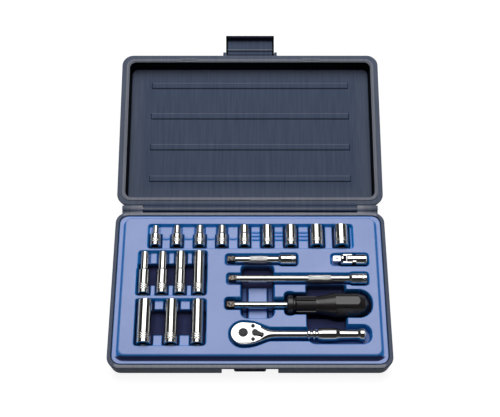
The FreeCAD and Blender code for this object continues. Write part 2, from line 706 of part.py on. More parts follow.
# Reversing lever with its shaft, the pawl on the shaft and the pawl's sprung ball
lever_turn = size("lever_turn", 20)
lever_low = head_top + cover_thick + 0.1
lever_thick = size("lever_thick", 1.6)
lever_at = (ratchet_x + lever_x, ratchet_y, 0)
lever = new_body("ratchet_lever", lever_at, (0, 0, -1), lever_turn)
rod(lever, "lever_hub", "z", (0, 0, lever_low), 3.3, lever_thick)
slab(lever, "lever_arm", [(0, -3), (8, -1.5), (8, 1.5), (0, 3)], lever_low, lever_thick)
rod(lever, "lever_tip", "z", (8, 0, lever_low), 1.9, lever_thick + 0.8)
rod(lever, "lever_shaft", "z", (0, 0, gear_low + 0.2), 1.6, lever_low - gear_low)
pawl = new_body("ratchet_pawl", lever_at, (0, 0, -1), lever_turn * 0.3)
pawl_tall = size("pawl_tall", 7.4)
slab(pawl, "pawl_outline", [
    (4.2, -3), (4.2, 3), (1.5, 5.2), (-3.4, 5.2), (-3.4, 3.4), (-2.6, 0), (-3.4, -3.4), (-3.4, -5.2),
    (1.5, -5.2)], gear_low + 0.3, pawl_tall)
rod(pawl, "pawl_eye", "z", (0, 0, gear_low), 1.6 + running_gap, 12, cut=True)
rod(pawl, "pawl_hollow", "z", (-lever_x, 0, gear_low), gear_radius + 0.78, 12, cut=True)
pawl_ball = new_body("pawl_ball", (ratchet_x + pawl_ball_x + 0.2, ratchet_y, head_low + 5))
ball(pawl_ball, "pawl_sphere", 1.2)
pawl_spring = new_body("pawl_spring", (ratchet_x + pawl_ball_x + 1.9, ratchet_y, head_low + 5))
rod(pawl_spring, "pawl_coil", "x", (0, 0, 0), 0.9, 4.6)

# Tool tray: a formed sheet with a raised plateau, a flange on the ledge and pockets for the tools
tray_shell = new_body("tray_shell")
flange_low = flange_top - sheet_thick
tray_foot = (half_width - 9.8, 84.9, -0.3, 8)
tray_plateau = (half_width - 12.7, 81.5, 2, 6)
tray_inner_foot = (half_width - 9.8 - sheet_thick, 84.9 - sheet_thick, -0.3, 7)
tray_inner_top = (half_width - 12.7 - sheet_thick, 81.5 - sheet_thick, 2, 5)
frustum(tray_shell, "tray_outside", tray_foot, tray_plateau, flange_low, plateau)
ring(tray_shell, "tray_flange", case_outline(5.1), case_outline(edge_width + 1.4), flange_low, sheet_thick)
frustum(tray_shell, "tray_inside", tray_inner_foot, tray_inner_top, flange_low, plateau - sheet_thick,
        cut=True)
finished.pop("tray_shell")

trough_floor = plateau - 4
well_low = size("well_low", 13)
slot_gap = size("slot_gap", 0.8)
rest_gap = size("rest_gap", 0.1)
pockets = [
    (-112.6, 113.6, 45.8, 75.4, trough_floor),
    (-122, -47.4, -11.5, 42, trough_floor), (-122, -47.4, 2.4, 28, well_low + 2),
    (-122, -47.3, -69.6, -16.3, trough_floor), (-122, -47.3, -56.5, -27.4, well_low + 2),
    (-26.4, 52.1, 24.8, 38.3, bar_axis - drive_body - rest_gap),
    (88.8, 129.3, 22.3, 40.8, bar_axis - drive_body - rest_gap),
    (-26.6, 129.2, 1.1, 15, bar_axis - drive_body - rest_gap),
    (-26.9, 40, -28.1, -15.1, spinner_axis - shaft_radius - 0.5),
    (38.4, 130, -36, -7, spinner_axis - bulb_radius - rest_gap),
    (-20.8, 32, -71.3, -43, head_low - rest_gap),
    (30, 128.2, -71.3, -43, handle_axis - 7 - rest_gap),
    (-9.2, 25.4, -38, 24.8, well_low), (61, 103, -50.2, 1.7, well_low),
]
for centre, start_y, length, wide in socket_slots:
    pockets.append((centre - wide / 2 - slot_gap, centre + wide / 2 + slot_gap,
                    start_y - 1.2, start_y + length + 1.2, socket_axis - wide / 2 - rest_gap))


def part_box(name, low, high):
    thing = doc.addObject("Part::Box", name)
    for prop, start, end in zip(("Length", "Width", "Height"), low, high):
        bind(thing, prop, as_size(end) - start)
    for letter, start in zip("xyz", low):
        bind(thing, "Placement.Base." + letter, start)
    return thing


def part_rod(name, at, radius, height):
    thing = doc.addObject("Part::Cylinder", name)
    bind(thing, "Radius", radius)
    bind(thing, "Height", height)
    for letter, start in zip("xyz", at):
        bind(thing, "Placement.Base." + letter, start)
    return thing


def merged(name, pieces):
    thing = doc.addObject("Part::MultiFuse", name)
    thing.Shapes = pieces
    return thing


def cut_away(name, solid, tool):
    thing = doc.addObject("Part::Cut", name)
    thing.Base = solid
    thing.Tool = tool
    return thing


hollows = []
buckets = []
for number, (left, right, near, far, floor) in enumerate(pockets):
    hollows.append(part_box("pocket_%d" % number, (left, near, floor), (right, far, plateau + cut_clear)))
    grown = [as_size(edge) for edge in (left, right, near, far, floor)]
    buckets.append(part_box("bucket_%d" % number,
                            (grown[0] - sheet_thick, grown[2] - sheet_thick, grown[4] - sheet_thick),
                            (grown[1] + sheet_thick, grown[3] + sheet_thick, plateau - 0.3)))
drive_room = size("drive_room", 7)
hollows.append(part_rod("drive_pocket", (ratchet_x, ratchet_y, square_low - 0.8), drive_room, 12))
buckets.append(part_rod("drive_bucket", (ratchet_x, ratchet_y, square_low - 0.8 - sheet_thick),
                        drive_room + sheet_thick, 12))
tray_solid = merged("tray_solid", [tray_shell] + buckets)
tray_open = cut_away("tray_open", tray_solid, merged("tray_pockets", hollows))

# Bare raised island in the left finger well
island_top = size("island_top", 16.2)
island = part_box("island", (-2.7, -36.3, well_low - 0.5), (19.3, 2.9, island_top))
island_room = part_box("island_room", (-1.5, -35.1, well_low - 3), (18.1, 1.7, island_top - sheet_thick))
finished["tool_tray"] = cut_away("tool_tray", merged("tray_with_island", [tray_open, island]), island_room)

# Recompute, check and write every sub-part
doc.recompute()
for thing in doc.Objects:
    if "Invalid" in thing.State or "Error" in thing.State:
        raise RuntimeError("not computed: " + thing.Name)
os.makedirs("parts", exist_ok=True)
for name, thing in finished.items():
    if thing.Shape.isNull() or not thing.Shape.isValid():
        raise RuntimeError("bad shape: " + name)
    thing.Shape.exportStep(os.path.join("parts", name + ".step"))
    print("%-22s solids %d volume %.1f" % (name, len(thing.Shape.Solids), thing.Shape.Volume))
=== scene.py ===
import json
import math

import bmesh
import bpy
import numpy as np
from mathutils import Matrix, Vector


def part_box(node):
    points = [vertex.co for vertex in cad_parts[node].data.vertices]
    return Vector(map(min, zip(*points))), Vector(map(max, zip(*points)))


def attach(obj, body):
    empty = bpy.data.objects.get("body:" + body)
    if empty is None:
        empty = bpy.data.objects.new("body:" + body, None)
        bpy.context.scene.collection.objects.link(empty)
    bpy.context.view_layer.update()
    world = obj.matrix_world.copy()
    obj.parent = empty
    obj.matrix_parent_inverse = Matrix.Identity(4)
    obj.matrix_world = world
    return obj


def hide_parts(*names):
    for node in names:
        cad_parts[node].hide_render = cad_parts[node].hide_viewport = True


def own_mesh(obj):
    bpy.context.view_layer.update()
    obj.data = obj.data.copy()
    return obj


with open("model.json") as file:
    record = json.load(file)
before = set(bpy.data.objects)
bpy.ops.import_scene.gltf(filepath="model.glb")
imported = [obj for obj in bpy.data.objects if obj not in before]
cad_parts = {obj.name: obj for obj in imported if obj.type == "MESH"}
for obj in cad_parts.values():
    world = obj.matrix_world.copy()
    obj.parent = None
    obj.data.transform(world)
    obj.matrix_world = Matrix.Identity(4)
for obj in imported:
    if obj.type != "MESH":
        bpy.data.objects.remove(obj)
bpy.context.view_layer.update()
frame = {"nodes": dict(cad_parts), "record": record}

# Socket wrench set in its case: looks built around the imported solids.
# Shapes are written in millimetres and scaled to metres when a piece is made.
MM = 0.001


def box_mm(node):
    """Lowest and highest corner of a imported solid, in millimetres."""
    low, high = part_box(node)
    return np.array(low) / MM, np.array(high) / MM


# Shared sizes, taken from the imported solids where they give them
base_low, base_high = box_mm("base_shell")
HALF_WIDTH = base_high[0]
HALF_DEPTH = -base_low[1]
CORNER = 13.0
CORNER_STEPS = 8
DRAFT = 2.6
RIM_TOP = 22.5
HINGE_Y = HALF_DEPTH + 4.4
HINGE_RADIUS = 3.6
HINGE_MIDDLE = 120.5
HINGE_END = 144.0
LID_ANGLE = math.radians(169)
LATCH_HALF = 28.5
LATCH_Y = -(HINGE_Y + HALF_DEPTH + 3.2)
LATCH_Z = 5.0
LATCH_BARREL = 2.6
CASE_WALL = 2.5
RECESS_HALF = 30.0
RECESS_BACK = 8.5 - HALF_DEPTH
RECESS_TOP = 18.5
AROUND = 96
ROUND_STEPS = 4
STRAIGHT = 1e-6
TIP_RADIUS = 0.05
KNURL_TEETH = 16
KNURL_LEAD = 1.25
DRIVE = 6.35 / 2
DRIVE_HOLE = 6.5 / 2
DRIVE_LENGTH = 8.5


class Shader:
    """A principled material with procedural detail in object space."""

    def __init__(self, name, **settings):
        self.material = bpy.data.materials.new(name)
        self.material.use_nodes = True
        self.nodes = self.material.node_tree.nodes
        self.links = self.material.node_tree.links
        self.surface = self.nodes["Principled BSDF"]
        for word, amount in settings.items():
            self.surface.inputs[word.replace("_", " ").title().replace("Ior", "IOR")].default_value = amount
        self.place = self.nodes.new("ShaderNodeTexCoord").outputs["Object"]

    def noise(self, scale, detail=2.0, stretch=(1, 1, 1)):
        mapping = self.nodes.new("ShaderNodeMapping")
        mapping.inputs["Scale"].default_value = stretch
        self.links.new(self.place, mapping.inputs["Vector"])
        texture = self.nodes.new("ShaderNodeTexNoise")
        texture.inputs["Scale"].default_value = scale
        texture.inputs["Detail"].default_value = detail
        self.links.new(mapping.outputs["Vector"], texture.inputs["Vector"])
        return texture.outputs["Fac"]

    def between(self, factor, low, high, start=0.3, end=0.7):
        """Spread a factor from start..end to low..high."""
        node = self.nodes.new("ShaderNodeMapRange")
        for word, amount in (("From Min", start), ("From Max", end), ("To Min", low), ("To Max", high)):
            node.inputs[word].default_value = amount
        self.links.new(factor, node.inputs["Value"])
        return node.outputs["Result"]

    def colours(self, factor, first, second, start=0.3, end=0.7):
        ramp = self.nodes.new("ShaderNodeValToRGB")
        ramp.color_ramp.elements[0].position = start
        ramp.color_ramp.elements[0].color = (*first, 1)
        ramp.color_ramp.elements[1].position = end
        ramp.color_ramp.elements[1].color = (*second, 1)
        self.links.new(factor, ramp.inputs["Fac"])
        return ramp.outputs["Color"]

    def mix(self, factor, high, low, start, end):
        """A fixed colour below start of a factor, another colour output above its end."""
        share = self.between(factor, 0.0, 1.0, start, end)
        node = self.nodes.new("ShaderNodeMix")
        node.data_type = "RGBA"
        self.links.new(share, node.inputs["Factor"])
        node.inputs[6].default_value = (*low, 1)
        self.links.new(high, node.inputs[7])
        return node.outputs[2]

    def blend(self, factor, first, second):
        node = self.nodes.new("ShaderNodeMix")
        node.data_type = "RGBA"
        self.links.new(factor, node.inputs["Factor"])
        self.links.new(first, node.inputs[6])
        self.links.new(second, node.inputs[7])
        return node.outputs[2]

    def sum(self, first, second):
        node = self.nodes.new("ShaderNodeMath")
        node.operation = "ADD"
        self.links.new(first, node.inputs[0])
        self.links.new(second, node.inputs[1])
        return node.outputs[0]

    def attribute(self, name):
        """A number that the mesh holds at each of its points."""
        node = self.nodes.new("ShaderNodeAttribute")
        node.attribute_name = name
        return node.outputs["Fac"]

    def one_part(self, vector, letter):
        split = self.nodes.new("ShaderNodeSeparateXYZ")
        self.links.new(vector, split.inputs["Vector"])
        return split.outputs[letter]

    def slope(self):
        """One where the surface lies level, less where it is steep."""
        return self.one_part(self.nodes.new("ShaderNodeNewGeometry").outputs["Normal"], "Z")

    def along(self):
        """The place of a point from left to right at rest, in metres."""
        return self.one_part(self.place, "X")

    def height(self):
        """The height above the ground of a point at rest, in metres."""
        return self.one_part(self.place, "Z")

    def bump(self, height, strength, distance):
        node = self.nodes.new("ShaderNodeBump")
        node.inputs["Strength"].default_value = strength
        node.inputs["Distance"].default_value = distance
        self.links.new(height, node.inputs["Height"])
        self.set("Normal", node.outputs["Normal"])

    def set(self, word, output):
        self.links.new(output, self.surface.inputs[word])


def case_plastic():
    """Dark slate moulded plastic: fine grain and faint flow streaks, with painted highlights along edges and
    painted shade in its corners and on walls out of the light.
    """
    made = Shader("case_plastic", ior=1.25, specular_ior_level=0.1)
    streak = made.noise(420, 4, (1, 0.06, 0.06))
    plain = made.colours(streak, (0.060, 0.081, 0.136), (0.078, 0.103, 0.164))
    # Paler colour for painted highlights on edges and lines that catch the light
    painted_highlight = made.colours(streak, (0.26, 0.27, 0.31), (0.31, 0.32, 0.36))
    painted_shading = made.attribute("painted_shading")
    highlighted = made.blend(made.between(painted_shading, 0.0, 1.0, 0.0, 1.0), plain, painted_highlight)
    # Below zero the colour darkens to near black: painted shade on inner walls, rib feet and gaps
    made.set("Base Color", made.mix(painted_shading, highlighted, (0.003, 0.004, 0.006), -1.0, 0.0))
    grain = made.noise(1500, 3)
    made.set("Roughness", made.between(grain, 0.42, 0.58))
    made.bump(grain, 0.25, 0.00025)
    return made.material


def tray_plastic():
    """Satin blue formed sheet, with a painted sheen that makes it pale where it lies flat, deep saturated
    blue in its steep walls, and painted shade that darkens its wells.
    """
    made = Shader("tray_plastic", ior=1.55)
    painted_sheen = made.colours(made.noise(22, 4), (0.237, 0.335, 0.685), (0.280, 0.380, 0.740))
    # Level faces take the pale painted sheen, steep walls the sheet's saturated blue
    wall = made.mix(made.slope(), painted_sheen, (0.004, 0.260, 0.780), 0.72, 0.97)
    painted_shade = made.attribute("painted_shade")
    # Painted shade: navy to near black in the wells and on the underside
    deep = made.colours(painted_shade, (0.020, 0.090, 0.330), (0.014, 0.019, 0.080), 0.45, 0.95)
    made.set("Base Color", made.blend(made.between(painted_shade, 0.0, 1.0, 0.05, 0.55), wall, deep))
    skin = made.noise(420, 3)
    made.set("Roughness", made.sum(made.between(skin, 0.34, 0.46), made.between(painted_shade, 0.0, 0.5, 0.3, 0.9)))
    made.bump(skin, 0.06, 0.0003)
    return made.material


# Darker and lighter colour of chrome plate
PLATE = ((0.53, 0.525, 0.515), (0.60, 0.595, 0.58))


def chrome_plate():
    """Polished chrome with a slightly uneven polish and hair scratches."""
    made = Shader("chrome_plate", metallic=1.0)
    polish = made.noise(160, 4)
    made.set("Base Color", made.colours(polish, *PLATE))
    scratch = made.noise(900, 5, (0.25, 1, 1))
    made.set("Roughness", made.between(scratch, 0.03, 0.09))
    made.bump(polish, 0.012, 0.0002)
    return made.material


def tongue_chrome(node):
    """Chrome of a bar whose square tongue, at the left, is mottled bare bronzed steel."""
    made = Shader(node + "_chrome", metallic=1.0)
    plate = made.colours(made.noise(160, 4), *PLATE)
    bronze = made.colours(made.noise(450, 3), (0.012, 0.010, 0.009), (0.125, 0.104, 0.088), 0.42, 0.66)
    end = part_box(node)[0][0] + DRIVE_LENGTH * MM
    plated = made.between(made.along(), 0.0, 1.0, end - 0.1 * MM, end + 0.1 * MM)
    made.set("Base Color", made.blend(plated, bronze, plate))
    made.set("Roughness", made.between(made.noise(900, 5, (0.25, 1, 1)), 0.05, 0.14))
    return made.material


def bright_steel():
    """Brushed bright steel of the pins, balls, springs and pawl."""
    made = Shader("bright_steel", metallic=1.0)
    brush = made.noise(1200, 4, (0.1, 1, 1))
    made.set("Base Color", made.colours(brush, (0.50, 0.50, 0.51), (0.66, 0.66, 0.67)))
    made.set("Roughness", made.between(brush, 0.22, 0.38))
    made.bump(brush, 0.08, 0.0001)
    return made.material


def black_plastic():
    """Satin black handle plastic with a light bloom and a fine mould texture."""
    made = Shader("black_plastic", ior=1.5, specular_ior_level=0.6)
    cloud = made.noise(900, 4)
    made.set("Base Color", made.colours(cloud, (0.005, 0.004, 0.004), (0.030, 0.025, 0.026), 0.35, 0.75))
    grain = made.noise(1300, 3)
    made.set("Roughness", made.between(grain, 0.26, 0.38))
    made.bump(grain, 0.08, 0.0002)
    return made.material


def black_oxide():
    """Blackened steel of the cover's screws."""
    made = Shader("black_oxide", metallic=1.0)
    cloud = made.noise(900, 3)
    made.set("Base Color", made.colours(cloud, (0.012, 0.012, 0.014), (0.030, 0.030, 0.034)))
    made.set("Roughness", made.between(cloud, 0.30, 0.45))
    return made.material


def dull_steel():
    """Dark blasted steel of the small controls."""
    made = Shader("dull_steel", metallic=1.0)
    grit = made.noise(2200, 3)
    made.set("Base Color", made.colours(grit, (0.020, 0.020, 0.022), (0.042, 0.041, 0.040)))
    made.set("Roughness", made.between(grit, 0.34, 0.52))
    made.bump(grit, 0.1, 0.0001)
    return made.material


def gear_steel():
    """Blackened hub above, bright drive square below."""
    made = Shader("gear_steel", metallic=1.0)
    cloud = made.noise(700, 3)
    bright, black = (0.80, 0.79, 0.77), (0.020, 0.020, 0.023)
    made.set("Base Color", made.colours(made.height(), bright, black, 24.0 * MM, 24.5 * MM))
    made.set("Roughness", made.between(cloud, 0.16, 0.34))
    return made.material


CASE = case_plastic()
TRAY = tray_plastic()
CHROME = chrome_plate()
STEEL = bright_steel()
HANDLE = black_plastic()
OXIDE = black_oxide()
DULL = dull_steel()
GEAR = gear_steel()


# Mesh helpers: every shape is a pair of points and faces
def loft(rings, closed=False):
    """A tube through rings with equal point counts; open ends are capped."""
    rings = np.asarray(rings, float)
    count, around = rings.shape[:2]
    index = np.arange(count * around).reshape(count, around)
    faces = []
    for number in range(count if closed else count - 1):
        here = index[number]
        there = index[(number + 1) % count]
        for step in range(around):
            after = (step + 1) % around
            faces.append((here[step], here[after], there[after], there[step]))
    if not closed:
        faces.append(tuple(index[0][::-1]))
        faces.append(tuple(index[-1]))
    return rings.reshape(-1, 3), faces


def join(shapes):
    points = []
    faces = []
    start = 0
    for more_points, more_faces in shapes:
        points.append(more_points)
        faces += [tuple(number + start for number in face) for face in more_faces]
        start += len(more_points)
    return np.concatenate(points), faces


def moved(shape, matrix):
    points, faces = shape
    return np.array([matrix @ Vector(point) for point in points]), faces


def rounded(corners):
    """Round a line of (u, v, radius) corners; the two ends stay."""
    spots = [np.array(corner[:2], float) for corner in corners]
    line = [spots[0]]
    for number in range(1, len(corners) - 1):
        before = spots[number - 1] - spots[number]
        after = spots[number + 1] - spots[number]
        near, far = np.linalg.norm(before), np.linalg.norm(after)
        radius = corners[number][2]
        half = math.acos(np.clip(before @ after / near / far, -1, 1)) / 2
        reach = min(radius / math.tan(half), 0.49 * near, 0.49 * far)
        if reach < STRAIGHT:
            line.append(spots[number])
            continue
        start = spots[number] + before / near * reach
        end = spots[number] + after / far * reach
        for step in range(ROUND_STEPS + 1):
            t = step / ROUND_STEPS
            line.append((1 - t) ** 2 * start + 2 * t * (1 - t) * spots[number] + t * t * end)
    line.append(spots[-1])
    return line


def outline(half_x, half_y, centre_y, radius, z, centre_x=0.0):
    """A rounded rectangle as a ring of points at one height."""
    ring = []
    for quarter, (side_x, side_y) in enumerate(((1, -1), (1, 1), (-1, 1), (-1, -1))):
        middle_x = centre_x + side_x * (half_x - radius)
        middle_y = centre_y + side_y * (half_y - radius)
        for step in range(CORNER_STEPS + 1):
            angle = math.pi / 2 * (quarter - 1 + step / CORNER_STEPS)
            ring.append((middle_x + radius * math.cos(angle), middle_y + radius * math.sin(angle), z))
    return ring


def case_ring(inset, z, centre_y=0.0):
    return outline(HALF_WIDTH - inset, HALF_DEPTH - inset, centre_y, CORNER - 0.6 * inset, z)


def bar(low, high, edge):
    """A rounded block; low and high are opposite corners."""
    low, high = np.array(low, float), np.array(high, float)
    middle = (low + high) / 2
    half = (high - low) / 2
    rings = []
    for inset, z in ((edge, low[2]), (0.3 * edge, low[2] + 0.3 * edge), (0, low[2] + edge),
                     (0, high[2] - edge), (0.3 * edge, high[2] - 0.3 * edge), (edge, high[2])):
        rings.append(outline(half[0] - inset, half[1] - inset, middle[1], 2 * edge - inset, z, middle[0]))
    return loft(rings)


def section(radius, sides):
    """Radius at each angle of a circle (no sides) or of a polygon across its flats."""
    angle = np.arange(AROUND) * 2 * math.pi / AROUND
    if not sides:
        return angle, np.full(AROUND, radius)
    step = 2 * math.pi / sides
    return angle, radius / np.cos((angle + step / 2) % step - step / 2)


def ring_about(axis, origin, along, angle, radius):
    """A ring round a line along X or Y."""
    sideways = radius * np.cos(angle)
    upward = radius * np.sin(angle)
    distance = np.full(AROUND, along)
    parts = (distance, sideways, upward) if axis == "x" else (sideways, distance, upward)
    return np.stack(parts, 1) + np.asarray(origin)


def knurl_rings(axis, origin, start, end, radius, depth):
    """Rings with crossed cuts, no wider than a radius."""
    angle = np.arange(AROUND) * 2 * math.pi / AROUND
    rings = []
    for along in np.linspace(start, end, round((end - start) / 0.4)):
        lead = (along - start) * KNURL_LEAD
        cross = np.abs(np.sin(KNURL_TEETH * angle / 2 + lead) * np.sin(KNURL_TEETH * angle / 2 - lead))
        rings.append(ring_about(axis, origin, along, angle, radius - depth * (1 - cross)))
    return rings


def turned_rings(axis, origin, stations):
    """Rings through (along, radius, sides) stations."""
    return [ring_about(axis, origin, along, *section(radius, sides)) for along, radius, sides in stations]


def turned(axis, origin, stations):
    return loft(turned_rings(axis, origin, stations))


def circles(line):
    return [(along, radius, 0) for along, radius in line]


def carved(shape, cutter):
    """What is left of a closed shape once another is cut out of it."""
    things = []
    for points, faces in (shape, cutter):
        mesh = bpy.data.meshes.new("carving")
        mesh.from_pydata(np.asarray(points).tolist(), [], faces)
        turn_outward(mesh)
        things.append(bpy.data.objects.new("carving", mesh))
        bpy.context.scene.collection.objects.link(things[-1])
    cut = things[0].modifiers.new("cut", "BOOLEAN")
    cut.operation = "DIFFERENCE"
    cut.solver = "EXACT"
    cut.object = things[1]
    left = things[0].evaluated_get(bpy.context.evaluated_depsgraph_get()).to_mesh()
    points = np.array([vertex.co[:] for vertex in left.vertices])
    faces = [tuple(face.vertices) for face in left.polygons]
    for thing in things:
        bpy.data.objects.remove(thing)
    return points, faces


def turn_outward(mesh):
    """Point every face of a closed mesh outward."""
    made = bmesh.new()
    made.from_mesh(mesh)
    bmesh.ops.recalc_face_normals(made, faces=made.faces)
    made.to_mesh(mesh)
    made.free()


def piece(name, shape, body, material, nodes, sharp=38):
    """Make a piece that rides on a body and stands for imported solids."""
    points, faces = shape
    mesh = bpy.data.meshes.new(name)
    mesh.from_pydata((np.asarray(points) * MM).tolist(), [], faces)
    turn_outward(mesh)
    mesh.materials.append(material)
    mesh.shade_smooth()
    mesh.set_sharp_from_angle(angle=math.radians(sharp))
    thing = bpy.data.objects.new(name, mesh)
    bpy.context.scene.collection.objects.link(thing)
    flats = thing.modifiers.new("flats", "WEIGHTED_NORMAL")
    flats.keep_sharp = True
    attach(thing, body)
    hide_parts(*nodes)
    return thing


def mark(thing, name, amounts):
    """Keep a number at each point of a piece for its material."""
    thing.data.attributes.new(name, "FLOAT", "POINT").data.foreach_set("value", np.asarray(amounts, float))


# Base of the case, with the ledge that carries the tray, the latch's recess and catch, and the hinge's leaf
BASE_FLOOR = 2.5
LINER_FOOT = BASE_FLOOR / 2
FOOT_RISE = 2.2
RIM_WIDTH = 4.0
LEDGE_REACH = 9.4
LEDGE_LOW, LEDGE_HIGH = 17.25, 20.25
CATCH_HALF = 17.0
CATCH_LOW, CATCH_HIGH = 8.3, 11.3
LEAF_LOW, LEAF_HIGH = 13.0, 16.5
LEAF_REACH = 5.8
HINGE_GAP = 0.5
# The wall as (inset, height, rounding), from the underside over the rim and the ledge to the floor
BASE_LINE = [
    (9, 0, 0), (DRAFT + FOOT_RISE, 0, 0.8), (DRAFT, FOOT_RISE, 1.6), (0, RIM_TOP, 1.5),
    (RIM_WIDTH, RIM_TOP, 0.6), (RIM_WIDTH + 0.35, LEDGE_HIGH, 0.3), (LEDGE_REACH, LEDGE_HIGH, 0.4),
    (LEDGE_REACH, LEDGE_LOW, 0.4), (RIM_WIDTH + 0.9, LEDGE_LOW, 0.4), (7.3, BASE_FLOOR, 1.5),
    (12, BASE_FLOOR, 0)]


def base_shape():
    """The shell with the lining of its recess, the catch and its half of the hinge."""
    shell = loft([case_ring(inset, z) for inset, z in rounded(BASE_LINE)])
    recess = bar((-RECESS_HALF, -HALF_DEPTH - 1, -1), (RECESS_HALF, RECESS_BACK, RECESS_TOP), 0.4)
    parts = [carved(shell, recess)]
    liner = RECESS_HALF + CASE_WALL
    parts.append(bar((-liner, RECESS_BACK, LINER_FOOT), (liner, RECESS_BACK + CASE_WALL, RECESS_TOP), 0.3))
    for side in (-1, 1):
        inner, outer = sorted((side * RECESS_HALF, side * liner))
        parts.append(bar((inner, 3 - HALF_DEPTH, LINER_FOOT), (outer, RECESS_BACK + 1, RECESS_TOP), 0.3))
    catch_front, catch_back = 1.5 - HALF_DEPTH, RECESS_BACK + 0.5
    parts.append(bar((-CATCH_HALF, catch_front, CATCH_LOW), (CATCH_HALF, catch_back, CATCH_HIGH), 1.0))
    leaf_front, leaf_back = HALF_DEPTH - 3, HALF_DEPTH + LEAF_REACH
    parts.append(bar((-HINGE_END, leaf_front, LEAF_LOW), (HINGE_END, leaf_back, LEAF_HIGH), 0.4))
    for start, end in ((-HINGE_END, -HINGE_MIDDLE - HINGE_GAP), (HINGE_MIDDLE + HINGE_GAP, HINGE_END)):
        parts.append(knuckle((0, HINGE_Y, RIM_TOP), start, end))
        parts.append(bar((start, HALF_DEPTH - 2, RIM_TOP - HINGE_RADIUS), (end, HINGE_Y, RIM_TOP), 0.25))
    return join(parts)


def barrel_along_x(axis, start, end, radius, edge):
    """A round barrel with softened ends."""
    return turned("x", axis, circles(rounded([
        (start, TIP_RADIUS, 0), (start, radius, edge), (end, radius, edge), (end, TIP_RADIUS, 0)])))


def knuckle(axis, start, end):
    """A hinge barrel along X."""
    return barrel_along_x(axis, start, end, HINGE_RADIUS, 0.5)


def base_painted_shading(points):
    """Painted highlight along the rim, most at the front and the back, and painted shade on the outer walls
    below it.
    """
    at_side = np.abs(points[:, 0]) > HALF_WIDTH - 9
    on_rim = points[:, 2] > RIM_TOP - np.where(at_side, 0.25, 0.9)
    return np.where(on_rim, np.where(at_side, 0.2, 1.0), np.where(points[:, 2] < RIM_TOP - 1, -0.2, 0.0))


base_mesh = base_shape()
base = piece("case_base", base_mesh, "case", CASE, ["base_shell"])
mark(base, "painted_shading", base_painted_shading(base_mesh[0]))


# Lid, drawn closed with heights measured up from the hinge axis, and then turned open
LID_HEIGHT = 20.0
LID_SHOULDER = 17.0
LID_SEAM = 0.2
LIP_PROUD = 0.6
INNER_EDGE = 9.2
CHANNEL = 17.0
PANEL_HALF_WIDTH, PANEL_HALF_DEPTH = 118.5, 63.5
PANEL_FACE = 15.0
RIB_FIRST, RIB_STEP, RIB_COUNT = 41.5, 39.2, 4
RIB_HALF_LENGTH = 116.5
SNAP_STARTS = (-82, 62)
SNAP_LENGTH = 20
# The wall as (inset, height, rounding), from the top over the side and the rim's lip to the channel inside
LID_LINE = [
    (14, LID_HEIGHT, 0), (DRAFT + 3, LID_HEIGHT, 1.5), (DRAFT, LID_SHOULDER, 2.5), (0, LID_SEAM, 1.3),
    (5.3, LID_SEAM, 0.3), (5.7, -LIP_PROUD, 0.3), (7.9, -LIP_PROUD, 0.3), (8.2, LID_SEAM, 0.2),
    (INNER_EDGE, LID_SEAM, 0.3), (INNER_EDGE + 0.1, 1.0, 0), (INNER_EDGE + 1, CHANNEL, 0.3),
    (INNER_EDGE + 2.4, CHANNEL - 0.07, 0)]
# A rib as (inset of its ends, half width, height), from inside the panel to its crown
RIB_LINE = [
    (0, 4.0, PANEL_FACE + 0.6), (0, 4.0, PANEL_FACE), (1.1, 2.7, PANEL_FACE - 0.75),
    (1.5, 2.2, PANEL_FACE - 0.8)]


def opened(shape, y=0.0, z=0.0, extra=0.0):
    """Turn a shape drawn closed about the hinge to where it is with the lid open."""
    place = Matrix.Translation((0, HINGE_Y, RIM_TOP)) @ Matrix.Rotation(-LID_ANGLE, 4, "X")
    return moved(shape, place @ Matrix.Translation((0, y, z)) @ Matrix.Rotation(-extra, 4, "X"))


def lid_wall():
    """The lid's wall and inner panel, with their painted light and shade."""
    centre = -HINGE_Y
    wall = rounded(LID_LINE)
    rings = [case_ring(inset, z, centre) for inset, z in wall]
    ring_shadings = [wall_painted_shading(inset, z) for inset, z in wall]
    for inset, z in ((0, PANEL_FACE + 0.03), (0.5, PANEL_FACE)):
        rings.append(outline(PANEL_HALF_WIDTH - inset, PANEL_HALF_DEPTH - inset, centre - 1.3, 4, z))
        ring_shadings.append(0.0)
    return loft(rings), np.repeat(ring_shadings, len(rings[0]))


def lid_rib(number):
    """One of the ribs along the panel, with its painted light and shade."""
    rib_y = -(RIB_FIRST + RIB_STEP * number)
    shape = loft([outline(RIB_HALF_LENGTH - inset, half_y, rib_y, 1.2, z) for inset, half_y, z in RIB_LINE])
    return shape, rib_painted_shading(shape[0], rib_y)


def latch_lugs():
    """The two lugs that hold the latch's pin, each a block and a barrel."""
    low, high = LATCH_Z - LATCH_BARREL, LATCH_Z + LATCH_BARREL
    for side in (-1, 1):
        inner, outer = sorted((side * (LATCH_HALF + 0.3), side * (LATCH_HALF + 3.3)))
        yield bar((inner, LATCH_Y, low), (outer, LATCH_Y + 6, high), 0.3)
        yield barrel_along_x((0, LATCH_Y, LATCH_Z), inner, outer, LATCH_BARREL, 0.4)


